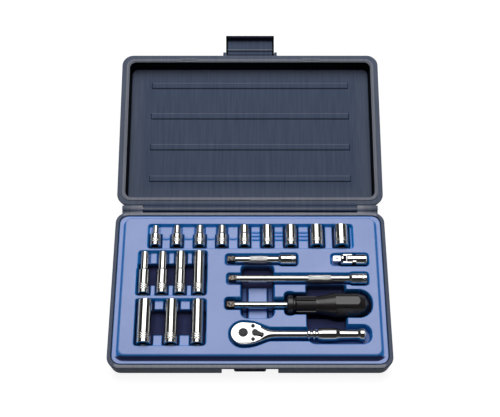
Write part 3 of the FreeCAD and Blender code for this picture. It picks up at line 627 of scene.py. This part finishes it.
def lid_shape():
    """The whole lid, turned open, and the painted light and shade at each of its points."""
    parts = [lid_wall()] + [lid_rib(number) for number in range(RIB_COUNT)]
    barrel = knuckle((0, 0, 0), -HINGE_MIDDLE, HINGE_MIDDLE)
    parts.append((barrel, barrel_painted_shading(barrel[0])))
    leaf = bar((-HINGE_MIDDLE, -6.5, 0.2), (HINGE_MIDDLE, 0, HINGE_RADIUS), 0.25)
    parts += [(shape, even_painted_shading(shape, 0.0)) for shape in (leaf, *latch_lugs())]
    front = -HINGE_Y - HALF_DEPTH
    for start in SNAP_STARTS:
        snap = bar((start, front + 4.4, -LIP_PROUD), (start + SNAP_LENGTH, front + 9.4, 1), 0.3)
        # The snap tabs carry an even painted highlight
        parts.append((snap, even_painted_shading(snap, 0.6)))
    shapes, ring_shadings = zip(*parts)
    return opened(join(shapes)), np.concatenate(ring_shadings)


def even_painted_shading(shape, amount):
    return np.full(len(shape[0]), amount)


def wall_painted_shading(inset, z):
    """Painted highlight on the rim's lip and a fainter one on the rest of the rim, painted shade on the
    inner wall below it, and a little painted light at the wall's foot.
    """
    if inset > INNER_EDGE and z > 0.9:
        return -1.0 if inset < INNER_EDGE + 2.3 else 0.15
    if inset > 5.5 and z < 1:
        return 0.7
    return 0.2 if z < 1 else 0.0


def rib_painted_shading(points, rib_y):
    """Painted shade along a rib's foot towards the hinge and at its ends, a painted highlight on its far
    edge.
    """
    on_foot = points[:, 2] > PANEL_FACE - 0.1
    dark_side = (points[:, 1] > rib_y + 2) | (np.abs(points[:, 0]) > RIB_HALF_LENGTH - 0.7)
    return np.where(on_foot, np.where(dark_side, -1.0, 0.4), np.where(dark_side, -0.2, 0.0))


def barrel_painted_shading(points):
    """A painted highlight along the hinge barrel and a painted shadow line where it nears the rim."""
    angle = np.arctan2(points[:, 2], points[:, 1])
    painted_highlight = np.clip(np.cos(angle + math.radians(66)), 0, 1) ** 16
    dark = np.clip(np.cos(angle + math.radians(150)), 0, 1) ** 12
    return 0.7 * painted_highlight - dark


lid_mesh, lid_painted_shading = lid_shape()
lid = piece("case_lid", lid_mesh, "lid", CASE, ["lid_shell"])
mark(lid, "painted_shading", lid_painted_shading)


# Latch flap, drawn hanging from its pin
LATCH_OUTSIDE, LATCH_INSIDE = -2.6, -0.1
LATCH_TIP = -22.0
HOOK_TOP = -19.5
HOOK_REACH = 6.0
# Heights on the flap's inside between which its painted light and shade change
LATCH_BANDS = (-17.6, -17, -7.2, -6.8, -5.8, -5.4)
# Steps in from each side of the flap: inset, share of the full section, painted shade
LATCH_EDGES = [(0, 0.94, -1.0), (0.4, 1, -1.0), (2.2, 1, -1.0), (2.5, 1, 0.0)]


def latch_side():
    """The flap's section as (y, z) points: outside, thumb lip, hook, inside and barrel."""
    line = [(LATCH_OUTSIDE, -0.3, 0), (LATCH_OUTSIDE, -17.6, 0.8), (-4, -18.6, 0.8), (-4, LATCH_TIP, 1.2),
            (HOOK_REACH, LATCH_TIP, 0.8), (HOOK_REACH, HOOK_TOP, 0.6), (LATCH_INSIDE, HOOK_TOP, 0.8)]
    line += [(LATCH_INSIDE, z, 0) for z in LATCH_BANDS]
    line.append((LATCH_INSIDE, -3.2, 1.2))
    for degrees in range(-30, 181, 15):
        angle = math.radians(degrees)
        line.append((LATCH_BARREL * math.cos(angle), LATCH_BARREL * math.sin(angle), 0))
    return np.array(rounded(line))


def latch_painted_band(z):
    """Painted shade at the hook, a painted highlight line, and a painted shadow line near the pin."""
    return -0.75 * (z < -17.5) + 0.5 * (-7 < z < -5.7) - 0.7 * (-5.5 < z < -3)


def latch_shape():
    side = latch_side()
    middle = side.mean(0)
    rings = []
    painted_shading = []
    for inset, shrink, edge_shading in LATCH_EDGES + [(LATCH_HALF, 1, 0.0)] + LATCH_EDGES[::-1]:
        x = (LATCH_HALF - inset) * (-1 if len(rings) < len(LATCH_EDGES) else 1)
        spots = middle + (side - middle) * shrink
        rings.append([(x, y, z) for y, z in spots])
        painted_shading += [edge_shading + latch_painted_band(z) for z in side[:, 1]]
    return opened(loft(rings), LATCH_Y, LATCH_Z, math.radians(90)), painted_shading


latch_mesh, latch_painted_shading = latch_shape()
latch = piece("latch_plate", latch_mesh, "latch", CASE, ["latch_flap"])
mark(latch, "painted_shading", latch_painted_shading)


# Tool tray: a formed sheet drawn as heights over a grid
CELL = 0.76
# The underside's squares are this many times as wide as the top's
COARSE = 4
SHEET = 1.2
TRAY_CORNER = 9.9
PLATEAU = 27.0
FLANGE = 21.5
TROUGH = 23.0
WELL = 13.0
ISLAND_TOP = WELL + 3.2
SHAFT_FLOOR, HEAD_FLOOR, JOINT_DRIVE_FLOOR = 21.6, 20.3, 21.9
SPINNER_FLOOR, RATCHET_FLOOR = 17.4, 18.2
DRAWN_WALL = 1.8
POCKET_CORNER, POCKET_WALL = 1.2, 1.4
SOCKET_GAP = 0.9
RIDGE_CLEAR, RIDGE_HALF, RIDGE_RISE, RIDGE_FLANK = 3.2, 0.5, 1.5, 0.8
ONE_RIDGE, THREE_RIDGES = (59.1,), (67.0, 62.5, 58.0)
SPINNER_Y = -21.4
RATCHET_X, RATCHET_Y = -7.2, -57.2
RATCHET_HEAD, RATCHET_NECK, RATCHET_TAPER = 12.8, 4.6, 33.0
TINY = 1e-9
# Places in the tray as low x, high x, low y, high y
PLATEAU_EDGE = (-138.3, 138.3, -79.5, 83.5)
FLANGE_EDGE = (-141.2, 141.2, -85.2, 84.6)
TROUGHS = ((-111.8, 112.8, 46.8, 74.4), (-121.2, -48.2, -10.5, 41.0), (-121.2, -48.1, -68.8, -17.3))
SOCKET_WELLS = ((-121.2, -48.2, 3.2, 27.2), (-121.2, -48.1, -55.7, -28.2))
SHORT_SHAFT, SHORT_HEAD = (-25.8, 34.2, 26.0, 37.2), (32.6, 51.2, 24.9, 38.3)
LONG_SHAFT, LONG_HEAD = (-24.3, 111.0, 2.5, 13.7), (109.0, 127.7, 1.4, 14.8)
JOINT_DRIVE, JOINT_SOCKET = (89.9, 101.2, 25.3, 37.7), (98.0, 128.6, 24.8, 38.2)
SPINNER_SHAFT = (-25.9, 40.0, -27.2, -15.6)
SPINNER_COLLAR = (38.6, 47.4, SPINNER_Y - 12, SPINNER_Y + 12)
SPINNER_GRIP = (44, 100, SPINNER_Y - 11, SPINNER_Y + 11)
SPINNER_BULB = (82, 129.6, SPINNER_Y - 14.6, SPINNER_Y + 14.6)
RATCHET_SHANK = (10, 72, RATCHET_Y - 6.4, RATCHET_Y + 6.4)
RATCHET_GRIP = (62, 127.4, RATCHET_Y - 9.6, RATCHET_Y + 9.6)
LEFT_WELL, RIGHT_WELL = (-8.4, 24.6, -37.2, 24.8), (61.8, 102.2, -49.4, 1.7)
ISLAND = (-2.7, 19.3, -36.3, 2.9)
# Straight pockets and their floors
STRAIGHT_POCKETS = (
    (SHORT_SHAFT, SHAFT_FLOOR), (SHORT_HEAD, HEAD_FLOOR), (LONG_SHAFT, SHAFT_FLOOR), (LONG_HEAD, HEAD_FLOOR),
    (JOINT_DRIVE, JOINT_DRIVE_FLOOR), (JOINT_SOCKET, HEAD_FLOOR), (SPINNER_SHAFT, SPINNER_FLOOR),
    (RIGHT_WELL, WELL))
# Sockets, for which the tray has pockets; those with a nose radius are stepped down to it
STANDARD = ["standard_socket_%d" % number for number in range(1, 10)]
DEEP = ["deep_socket_%d" % number for number in range(1, 8)]
STEP_AT = 0.55
NOSE_RADII = {
    "standard_socket_1": 3.45, "standard_socket_2": 4.0, "standard_socket_3": 4.3, "standard_socket_4": 4.6,
    "standard_socket_5": 5.5, "deep_socket_1": 4.3, "deep_socket_2": 4.7, "deep_socket_3": 5.7,
}


def ramp(amount):
    amount = np.clip(amount, 0, 1)
    return amount * amount * (3 - 2 * amount)


def block_distance(x, y, low_x, high_x, low_y, high_y, radius):
    """Signed distance to a rounded rectangle, less than zero inside."""
    away_x = np.abs(x - (low_x + high_x) / 2) - (high_x - low_x) / 2 + radius
    away_y = np.abs(y - (low_y + high_y) / 2) - (high_y - low_y) / 2 + radius
    outside = np.hypot(np.maximum(away_x, 0), np.maximum(away_y, 0))
    return outside + np.minimum(np.maximum(away_x, away_y), 0) - radius


def sink(height, distance, floor, wall, top=PLATEAU):
    """Lower the sheet to a floor inside an outline, with a drafted wall outside it."""
    lowered = np.minimum(height, floor + (top - floor) * ramp(distance / wall))
    return np.where(distance < wall, lowered, height)


def trough_ridges():
    """Low ridges that part the standard sockets: one in each of the first gaps, three in the others."""
    for number, name in enumerate(STANDARD[:-2]):
        low_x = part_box(name)[1][0] / MM + RIDGE_CLEAR
        high_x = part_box(STANDARD[number + 1])[0][0] / MM - RIDGE_CLEAR
        for ridge_y in (ONE_RIDGE if number < 4 else THREE_RIDGES):
            yield low_x, high_x, ridge_y


def trough_pockets(x, y):
    """Shallow troughs that hold the rows of sockets, and the wells under the deep ones."""
    for place in TROUGHS:
        yield block_distance(x, y, *place, 2), TROUGH, DRAWN_WALL
    for place in SOCKET_WELLS:
        yield block_distance(x, y, *place, 2), WELL + 2, DRAWN_WALL


def socket_pockets(x, y):
    """A pocket for each socket's drive end, and one along its nose."""
    for name in STANDARD + DEEP:
        low, high = box_mm(name)
        centre = (low[0] + high[0]) / 2
        floor = low[2] - 0.15
        wide = high[0] - centre + SOCKET_GAP
        nose = NOSE_RADII.get(name, wide - SOCKET_GAP) + SOCKET_GAP + 0.4
        step_y = low[1] + (high[1] - low[1]) * STEP_AT + 2.5
        drive_end = (centre - wide, centre + wide, low[1] - 0.7, step_y)
        yield block_distance(x, y, *drive_end, POCKET_CORNER), floor, POCKET_WALL
        nose_end = (centre - nose, centre + nose, low[1], high[1] + 0.8)
        nose_floor = floor + wide + 0.4 - nose
        yield block_distance(x, y, *nose_end, POCKET_CORNER), nose_floor, POCKET_WALL


def tool_pockets(x, y):
    """Pockets of the bars, the universal joint, the spinner and the ratchet, and the two finger wells."""
    for place, floor in STRAIGHT_POCKETS:
        yield block_distance(x, y, *place, 2.5), floor, DRAWN_WALL
    yield block_distance(x, y, *LEFT_WELL, 6), WELL, DRAWN_WALL
    yield handle_distance(x, y), box_mm("spinner_handle")[0][2] - 0.2, 2.2
    yield ratchet_distance(x, y), RATCHET_FLOOR, DRAWN_WALL
    drive = np.hypot(x - RATCHET_X, y - RATCHET_Y) - 8
    yield drive, box_mm("ratchet_gear")[0][2] - 0.3, DRAWN_WALL, RATCHET_FLOOR


def tray_height(x, y):
    """Height of the sheet: a plateau that falls to its flange, with pockets, ridges and a raised island."""
    from_plateau = np.clip(block_distance(x, y, *PLATEAU_EDGE, 6), 0, None)
    to_flange = np.clip(-block_distance(x, y, *FLANGE_EDGE, 8), 0, None)
    height = PLATEAU + (FLANGE - PLATEAU) * ramp(from_plateau / (from_plateau + to_flange + TINY))
    for pockets in (trough_pockets, socket_pockets, tool_pockets):
        for pocket in pockets(x, y):
            height = sink(height, *pocket)
    for low_x, high_x, ridge_y in trough_ridges():
        ridge = block_distance(x, y, low_x, high_x, ridge_y - RIDGE_HALF, ridge_y + RIDGE_HALF, 0.4)
        raised = np.maximum(height, TROUGH + RIDGE_RISE * ramp(1 - ridge / RIDGE_FLANK))
        height = np.where(ridge < RIDGE_FLANK, raised, height)
    island = block_distance(x, y, *ISLAND, 2)
    raised = np.maximum(height, WELL + (ISLAND_TOP - WELL) * ramp(-island / 1.2))
    return np.where((island < 0) & (height < ISLAND_TOP), raised, height)


def handle_distance(x, y):
    """Distance to the outline of the spinner's handle."""
    collar = block_distance(x, y, *SPINNER_COLLAR, 3)
    grip = block_distance(x, y, *SPINNER_GRIP, 2)
    bulb = block_distance(x, y, *SPINNER_BULB, 13)
    return np.minimum(np.minimum(collar, grip), bulb)


def ratchet_distance(x, y):
    """Distance to the outline of the ratchet."""
    half = head_half(x - RATCHET_X) + 1.2
    head = np.where(np.abs(x - RATCHET_X - 10) < 26, np.abs(y - RATCHET_Y) - half, 99)
    round_end = np.hypot(x - RATCHET_X, y - RATCHET_Y) - 14
    head = np.where(x < RATCHET_X, round_end, head)
    shank = block_distance(x, y, *RATCHET_SHANK, 2)
    grip = block_distance(x, y, *RATCHET_GRIP, 8)
    return np.minimum(np.minimum(head, shank), grip)


def head_half(x):
    """Half width of the ratchet's head at a distance from its drive axis."""
    blend = 0.5 + 0.5 * np.cos(math.pi * np.clip(x / RATCHET_TAPER, 0, 1) ** 1.25)
    round_end = np.sqrt(np.clip(RATCHET_HEAD ** 2 - x ** 2, 0, None))
    return np.where(x < 0, round_end, RATCHET_NECK + (RATCHET_HEAD - RATCHET_NECK) * blend)


def sheet_painted_shade(x, y, top):
    """Painted shade, from 0 where the sheet lies near its plateau to 1 where it lies far down and is painted
    dark.
    """
    beyond = block_distance(x, y, *PLATEAU_EDGE, 6)
    # Outside the plateau only the front step, which faces away from the light, gets painted shade; inside it
    # the painted shade grows below the troughs' floor
    front = ramp((PLATEAU_EDGE[2] - y) / 2)
    step = front * ramp((beyond - 1.2) / 1.5) * ramp((6.7 - beyond) / 0.8)
    painted_shade = np.where(beyond > 0, 0.95 * step, ramp((TROUGH - 0.3 - top) / 2.6))
    # Less painted shade round the ratchet
    painted_shade = np.where(ratchet_distance(x, y) < 2, 0.45 * painted_shade, painted_shade)
    island = block_distance(x, y, *ISLAND, 2)
    # Strips beside the island get no more than middling painted shade
    beside = (island > 1.2) & (x > LEFT_WELL[0]) & (x < LEFT_WELL[1]) & (y > ISLAND[2]) & (y < ISLAND[3])
    painted_shade = np.where(beside, np.minimum(painted_shade, 0.55), painted_shade)
    # No painted shade on the island's top
    return np.where((island < -0.8) & (top > WELL + 2.5) & (top < TROUGH), 0.0, painted_shade)


def lowest_nearby(heights):
    """The lowest height within one wide square of each point, along one direction of the grid."""
    padded = np.pad(heights, ((COARSE, COARSE), (0, 0)), mode="edge")
    return np.min([padded[shift:shift + len(heights)] for shift in range(2 * COARSE + 1)], 0)


def tray_shape():
    half_x, half_y = box_mm("tool_tray")[1][:2]
    across = COARSE * round(2 * half_x / CELL / COARSE)
    deep = COARSE * round(2 * half_y / CELL / COARSE)
    x, y = np.meshgrid(np.linspace(-half_x, half_x, across + 1), np.linspace(-half_y, half_y, deep + 1))
    # Grid squares at the corners are drawn in to a quarter round
    over_x = np.clip((np.abs(x) - half_x + TRAY_CORNER) / TRAY_CORNER, 0, 1)
    over_y = np.clip((np.abs(y) - half_y + TRAY_CORNER) / TRAY_CORNER, 0, 1)
    x = x + np.sign(x) * TRAY_CORNER * over_x * (np.sqrt(1 - over_y ** 2 / 2) - 1)
    y = y + np.sign(y) * TRAY_CORNER * over_y * (np.sqrt(1 - over_x ** 2 / 2) - 1)
    top = tray_height(x, y)
    # The underside stays below the lowest point of the top around it
    low = lowest_nearby(lowest_nearby(top).T).T[::COARSE, ::COARSE] - SHEET
    # The underside gets full painted shade
    painted_shade = np.concatenate([sheet_painted_shade(x, y, top).ravel(), np.ones(low.size)])
    points = [np.stack([x, y, top], -1).reshape(-1, 3)]
    points.append(np.stack([x[::COARSE, ::COARSE], y[::COARSE, ::COARSE], low], -1).reshape(-1, 3))
    upper = np.arange((deep + 1) * (across + 1)).reshape(deep + 1, across + 1)
    lower = upper.size + np.arange(low.size).reshape(low.shape)
    faces = quads(upper) + [face[::-1] for face in quads(lower)]
    for fine, rough in ((upper[0], lower[0]), (upper[-1], lower[-1]), (upper[:, 0], lower[:, 0]),
                        (upper[:, -1], lower[:, -1])):
        for number in range(len(rough) - 1):
            edge = fine[number * COARSE:(number + 1) * COARSE + 1]
            faces.append((*edge.tolist(), int(rough[number + 1]), int(rough[number])))
    return np.concatenate(points), faces, painted_shade


def quads(index):
    corners = (index[:-1, :-1], index[:-1, 1:], index[1:, 1:], index[1:, :-1])
    return np.stack(corners, -1).reshape(-1, 4).tolist()


*tray_mesh, tray_painted_shade = tray_shape()
tray = piece("tool_tray_sheet", tray_mesh, "case", TRAY, ["tool_tray"], sharp=180)
mark(tray, "painted_shade", tray_painted_shade)

# Sockets with a knurled ring at the drive end; the hex sizes run in the order of the names
ACROSS = dict(zip(STANDARD + DEEP, (4, 5, 5.5, 6, 7, 8, 9, 10, 11, 5.5, 6, 7, 8, 11, 10, 9)))
HEX_SHARE = {"standard": 0.42, "deep": 0.6}
GROOVE_DEPTH = 0.35
THROUGH_RADIUS = 3.02
KNURL_START = 3.6
KNURL_ENDS = {"standard": 8.5, "deep": 11.0}
SOCKET_KNURL, HEAD_KNURL, BAR_KNURL = 0.36, 0.3, 0.38


def socket_shape(name):
    low, high = box_mm(name)
    middle = (low + high) / 2
    length = high[1] - low[1]
    wide = (high[0] - low[0]) / 2
    nose = NOSE_RADII.get(name, wide)
    hex_half = ACROSS[name] / 2 + 0.05
    through = THROUGH_RADIUS if ACROSS[name] > 6.5 else 0.42 * ACROSS[name]
    kind = name.split("_")[0]
    hex_floor = length * (1 - HEX_SHARE[kind])
    step = length * STEP_AT
    knurl_end = KNURL_ENDS[kind]
    origin = (middle[0], low[1], middle[2])
    drive_end = [(DRIVE_LENGTH, DRIVE_HOLE, 4), (0.4, DRIVE_HOLE, 4), (0, DRIVE_HOLE + 0.25, 4)]
    groove = wide - GROOVE_DEPTH
    drive_end += circles(rounded([(0, wide - 0.9, 0), (0, wide, 0.8), (1.9, wide, 0), (2.1, groove, 0.1),
                                  (2.9, groove, 0.1), (3.1, wide, 0), (3.5, wide, 0)]))
    barrel = [(knurl_end + 0.1, wide, 0), (knurl_end + 0.4, wide, 0)]
    if nose < wide:
        barrel += [(step, wide, 0.5), (step + 1.6, nose, 0.8)]
    barrel += [(length - 1.2, nose, 0), (length, nose, 0.8), (length, nose - 0.8, 0)]
    nose_end = circles(rounded(barrel))
    nose_end += [(length, hex_half + 0.2, 6), (length - 0.4, hex_half, 6), (hex_floor, hex_half, 6),
                 (hex_floor, through, 0), (DRIVE_LENGTH, through, 0)]
    rings = turned_rings("y", origin, drive_end)
    rings += knurl_rings("y", origin, KNURL_START, knurl_end, wide, SOCKET_KNURL)
    rings += turned_rings("y", origin, nose_end)
    return loft(rings, closed=True)


for name in STANDARD + DEEP:
    piece(name + "_chrome", socket_shape(name), name, CHROME, [name], sharp=24)


# Extension bars with a square tongue, a diamond knurl and a socketed head
TONGUE_CORNER = 4.3
SHAFT = 4.1
HEAD = 6.0
BAR_AXIS = 26.5


def tongue_rings(origin):
    rings = []
    for along, half in ((0, DRIVE - 0.6), (0.25, DRIVE - 0.2), (0.7, DRIVE), (DRIVE_LENGTH, DRIVE)):
        angle, radius = section(half, 4)
        cut = np.minimum(radius, TONGUE_CORNER * half / DRIVE)
        rings.append(ring_about("x", origin, along, angle, cut))
    return rings


def bar_shape(node, knurl_start, knurl_end):
    low, high = box_mm(node)
    origin = (low[0], (low[1] + high[1]) / 2, BAR_AXIS)
    length = high[0] - low[0]

    def round_rings(line):
        return turned_rings("x", origin, circles(rounded(line)))

    rings = tongue_rings(origin)
    rings += round_rings([
        (DRIVE_LENGTH, SHAFT - 0.6, 0), (DRIVE_LENGTH + 0.6, SHAFT, 0.3), (knurl_start, SHAFT, 0)])
    rings += knurl_rings("x", origin, knurl_start, knurl_end, SHAFT + 0.5, BAR_KNURL)
    groove = HEAD - 0.4
    rings += round_rings([
        (knurl_end, SHAFT, 0), (length - 19, SHAFT, 1.5), (length - 16, HEAD, 1.2), (length - 11, HEAD, 0),
        (length - 10.8, groove, 0.1), (length - 9.8, groove, 0.1), (length - 9.6, HEAD, 0),
        (length - 5, HEAD, 0)])
    rings += knurl_rings("x", origin, length - 4.9, length - 2.2, HEAD, HEAD_KNURL)
    rings += round_rings([(length - 2.1, HEAD, 0), (length, HEAD, 0.8), (length, HEAD - 0.9, 0)])
    hole_floor = length - DRIVE_LENGTH
    rings += turned_rings("x", origin, [
        (length, DRIVE_HOLE + 0.25, 4), (length - 0.4, DRIVE_HOLE, 4), (hole_floor, DRIVE_HOLE, 4),
        (hole_floor, TIP_RADIUS, 4)])
    return loft(rings)


# Bars as (node, body, start of the knurl, end of the knurl)
BARS = (("short_bar", "short_extension", 25, 44), ("long_bar", "long_extension", 86.5, 111.5))
for node, body, start, end in BARS:
    piece(node + "_chrome", bar_shape(node, start, end), body, tongue_chrome(node), [node], 24)


# Ratchet body: a flat round head that runs smoothly into a turned handle
HEAD_LOW, HEAD_TOP = 20.5, 30.0
HANDLE_Z = 25.5
HANDLE_START = 4.5
# The handle as (distance from the drive axis, radius, rounding): shank, three grip rings, grip and end knob
HANDLE_LINE = [
    (34, HANDLE_START, 0), (40, 4.3, 2), (67.5, 4.3, 0.3),
    (68.5, 5.8, 0.5), (70.5, 5.8, 0.5), (71.2, 4.2, 0.3), (73.2, 4.2, 0.3),
    (73.9, 6.0, 0.5), (75.9, 6.0, 0.5), (76.6, 4.4, 0.3), (78.6, 4.4, 0.3),
    (79.3, 6.4, 0.5), (81, 6.4, 0.5), (84, 7, 2), (98, 7, 2), (102, 5.6, 2), (116, 5.2, 2), (121, 5.2, 2),
    (124, 6.8, 1.5), (128, 6.8, 1.2), (129.3, 5.4, 0.6), (129.3, TIP_RADIUS, 0)]


def ratchet_shape():
    rings = []
    angle = np.arange(AROUND) * 2 * math.pi / AROUND
    round_end = -RATCHET_HEAD * np.cos(np.linspace(0, math.pi / 2, 14))
    for along in np.concatenate([round_end, np.linspace(1.5, RATCHET_TAPER, 22)]):
        share = ramp(along / RATCHET_TAPER)
        half_y = max(float(head_half(along)), 0.4)
        half_z = (HEAD_TOP - HEAD_LOW) / 2 * (1 - share) + HANDLE_START * share
        middle_z = (HEAD_TOP + HEAD_LOW) / 2 * (1 - share) + HANDLE_Z * share
        power = 2 / (12 * (1 - share) ** 2 + 2)
        y = half_y * np.sign(np.cos(angle)) * np.abs(np.cos(angle)) ** power
        z = half_z * np.sign(np.sin(angle)) * np.abs(np.sin(angle)) ** power
        rings.append(np.stack([np.full(AROUND, RATCHET_X + along), RATCHET_Y + y, middle_z + z], 1))
    rings += turned_rings("x", (RATCHET_X, RATCHET_Y, HANDLE_Z), circles(rounded(HANDLE_LINE)))
    return loft(rings)


piece("ratchet_chrome", ratchet_shape(), "ratchet", CHROME, ["ratchet_body"], 30)

# Coil springs in place of the packed springs
WIRE_SIDES = 8
COIL_STEPS = 16
COIL_TURNS = 6
UPRIGHT, LENGTHWISE = 2, 0


def coil_shape(node, axis, wire):
    """A coil that fills the box of a packed spring about one of its axes."""
    low, high = box_mm(node)
    middle = (low + high) / 2
    across = (axis + 1) % 3
    length = high[axis] - low[axis] - wire
    angle = np.arange(WIRE_SIDES) * 2 * math.pi / WIRE_SIDES
    reach = (high[across] - low[across] - wire) / 2 + wire / 2 * np.cos(angle)
    rings = []
    for turn in np.linspace(0, COIL_TURNS, COIL_TURNS * COIL_STEPS + 1):
        along = length * (turn / COIL_TURNS - 0.5) + wire / 2 * np.sin(angle)
        round_about = 2 * math.pi * turn
        ring = np.stack([along, reach * math.cos(round_about), reach * math.sin(round_about)], 1)
        rings.append(np.roll(ring, axis, axis=1) + middle)
    return loft(rings)


def coil_spring(node, body, axis, wire):
    """A coil that rides on its body in place of a packed spring, with a mesh of its own."""
    thing = piece(node + "_coil", coil_shape(node, axis, wire), body, STEEL, [node])
    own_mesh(thing)


coil_spring("short_bar_spring", "short_extension", UPRIGHT, 0.3)
coil_spring("long_bar_spring", "long_extension", UPRIGHT, 0.3)
coil_spring("joint_spring", "joint_drive_end", UPRIGHT, 0.3)
coil_spring("spinner_spring", "spinner", UPRIGHT, 0.3)
coil_spring("release_spring", "drive_gear", UPRIGHT, 0.4)
coil_spring("pawl_spring", "ratchet", LENGTHWISE, 0.3)

# Camera at the photograph's angle; its place is in metres
CAMERA_LENS = 81.5
CAMERA_PLACE = (0, -0.5403, 1.1300)
CAMERA_TILT = math.radians(29.98)
camera_data = bpy.data.cameras.new("camera")
camera_data.lens = CAMERA_LENS
camera_data.sensor_width = 36
camera = bpy.data.objects.new("camera", camera_data)
camera.location = CAMERA_PLACE
camera.rotation_euler = (CAMERA_TILT, 0, 0)
bpy.context.scene.collection.objects.link(camera)
bpy.context.scene.camera = camera

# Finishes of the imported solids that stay
FINISHES = {"chrome": CHROME, "steel": STEEL, "case_plastic": CASE, "tray_plastic": TRAY,
            "handle_plastic": HANDLE, "dark_steel": OXIDE}
for row in frame["record"]["subparts"]:
    mesh = frame["nodes"][row["node"]].data
    mesh.materials.clear()
    mesh.materials.append(FINISHES[row["material_slot"]])
OWN_FINISHES = {"ratchet_gear": GEAR, "spinner_shaft": tongue_chrome("spinner_shaft"),
                "release_button": DULL, "ratchet_lever": DULL}
for node, material in OWN_FINISHES.items():
    frame["nodes"][node].data.materials[0] = material
for node, width in (("spinner_handle", 0.6), ("joint_socket_yoke", 1.0), ("joint_drive_yoke", 1.0)):
    soften = frame["nodes"][node].modifiers.new("soft_edges", "BEVEL")
    soften.width = width * MM
    soften.segments = 4
    soften.limit_method = "ANGLE"
    soften.harden_normals = True


# Floor and light, in metres
FLOOR_REACH = 30
FLOOR_CORNERS = ((-1, -1), (1, -1), (1, 1), (-1, 1))
FLOOR_GLOW = 0.90


def floor_white():
    """Bright from the camera and in reflections, but throwing little light."""
    made = bpy.data.materials.new("floor_white")
    made.use_nodes = True
    nodes, links = made.node_tree.nodes, made.node_tree.links
    surface = nodes["Principled BSDF"]
    surface.inputs["Base Color"].default_value = (0.25, 0.25, 0.25, 1)
    surface.inputs["Roughness"].default_value = 0.9
    surface.inputs["Specular IOR Level"].default_value = 0.0
    path = nodes.new("ShaderNodeLightPath")
    seen = path.outputs["Is Camera Ray"]
    for word in ("Is Glossy Ray", "Is Transmission Ray"):
        either = nodes.new("ShaderNodeMath")
        either.operation = "MAXIMUM"
        links.new(seen, either.inputs[0])
        links.new(path.outputs[word], either.inputs[1])
        seen = either.outputs[0]
    strength = nodes.new("ShaderNodeMath")
    strength.operation = "MULTIPLY"
    strength.inputs[1].default_value = FLOOR_GLOW
    links.new(seen, strength.inputs[0])
    surface.inputs["Emission Color"].default_value = (1, 1, 1, 1)
    links.new(strength.outputs[0], surface.inputs["Emission Strength"])
    return made


def floor():
    corners = [(side_x * FLOOR_REACH, side_y * FLOOR_REACH, 0) for side_x, side_y in FLOOR_CORNERS]
    mesh = bpy.data.meshes.new("floor")
    mesh.from_pydata(corners, [], [(0, 1, 2, 3)])
    mesh.materials.append(floor_white())
    thing = bpy.data.objects.new("floor", mesh)
    bpy.context.scene.collection.objects.link(thing)


def softbox(name, place, aim, width, depth, radiance):
    """A rectangular light that faces a point; its power gives it an even radiance."""
    data = bpy.data.lights.new(name, "AREA")
    data.shape = "RECTANGLE"
    data.size = width
    data.size_y = depth
    data.energy = math.pi * width * depth * radiance
    thing = bpy.data.objects.new(name, data)
    thing.location = place
    thing.rotation_euler = (Vector(aim) - Vector(place)).to_track_quat("-Z", "Y").to_euler()
    thing.visible_camera = False
    bpy.context.scene.collection.objects.link(thing)


def studio_world():
    """Dim surroundings, brighter towards the horizon."""
    world = bpy.data.worlds.new("studio")
    bpy.context.scene.world = world
    world.use_nodes = True
    nodes, links = world.node_tree.nodes, world.node_tree.links
    nodes["Background"].inputs["Color"].default_value = (0.95, 0.97, 1.0, 1)
    upward = nodes.new("ShaderNodeSeparateXYZ")
    links.new(nodes.new("ShaderNodeTexCoord").outputs["Generated"], upward.inputs["Vector"])
    horizon = nodes.new("ShaderNodeMapRange")
    for word, amount in (("From Min", 0.05), ("From Max", 0.45), ("To Min", 0.26), ("To Max", 0.04)):
        horizon.inputs[word].default_value = amount
    links.new(upward.outputs["Z"], horizon.inputs["Value"])
    links.new(horizon.outputs["Result"], nodes["Background"].inputs["Strength"])


floor()
softbox("overhead_softbox", place=(0, 0.87, 2.26), aim=(0, 0.05, 0), width=2.3, depth=2.25, radiance=3.2)
studio_world()
bpy.context.scene.view_settings.view_transform = "Standard"
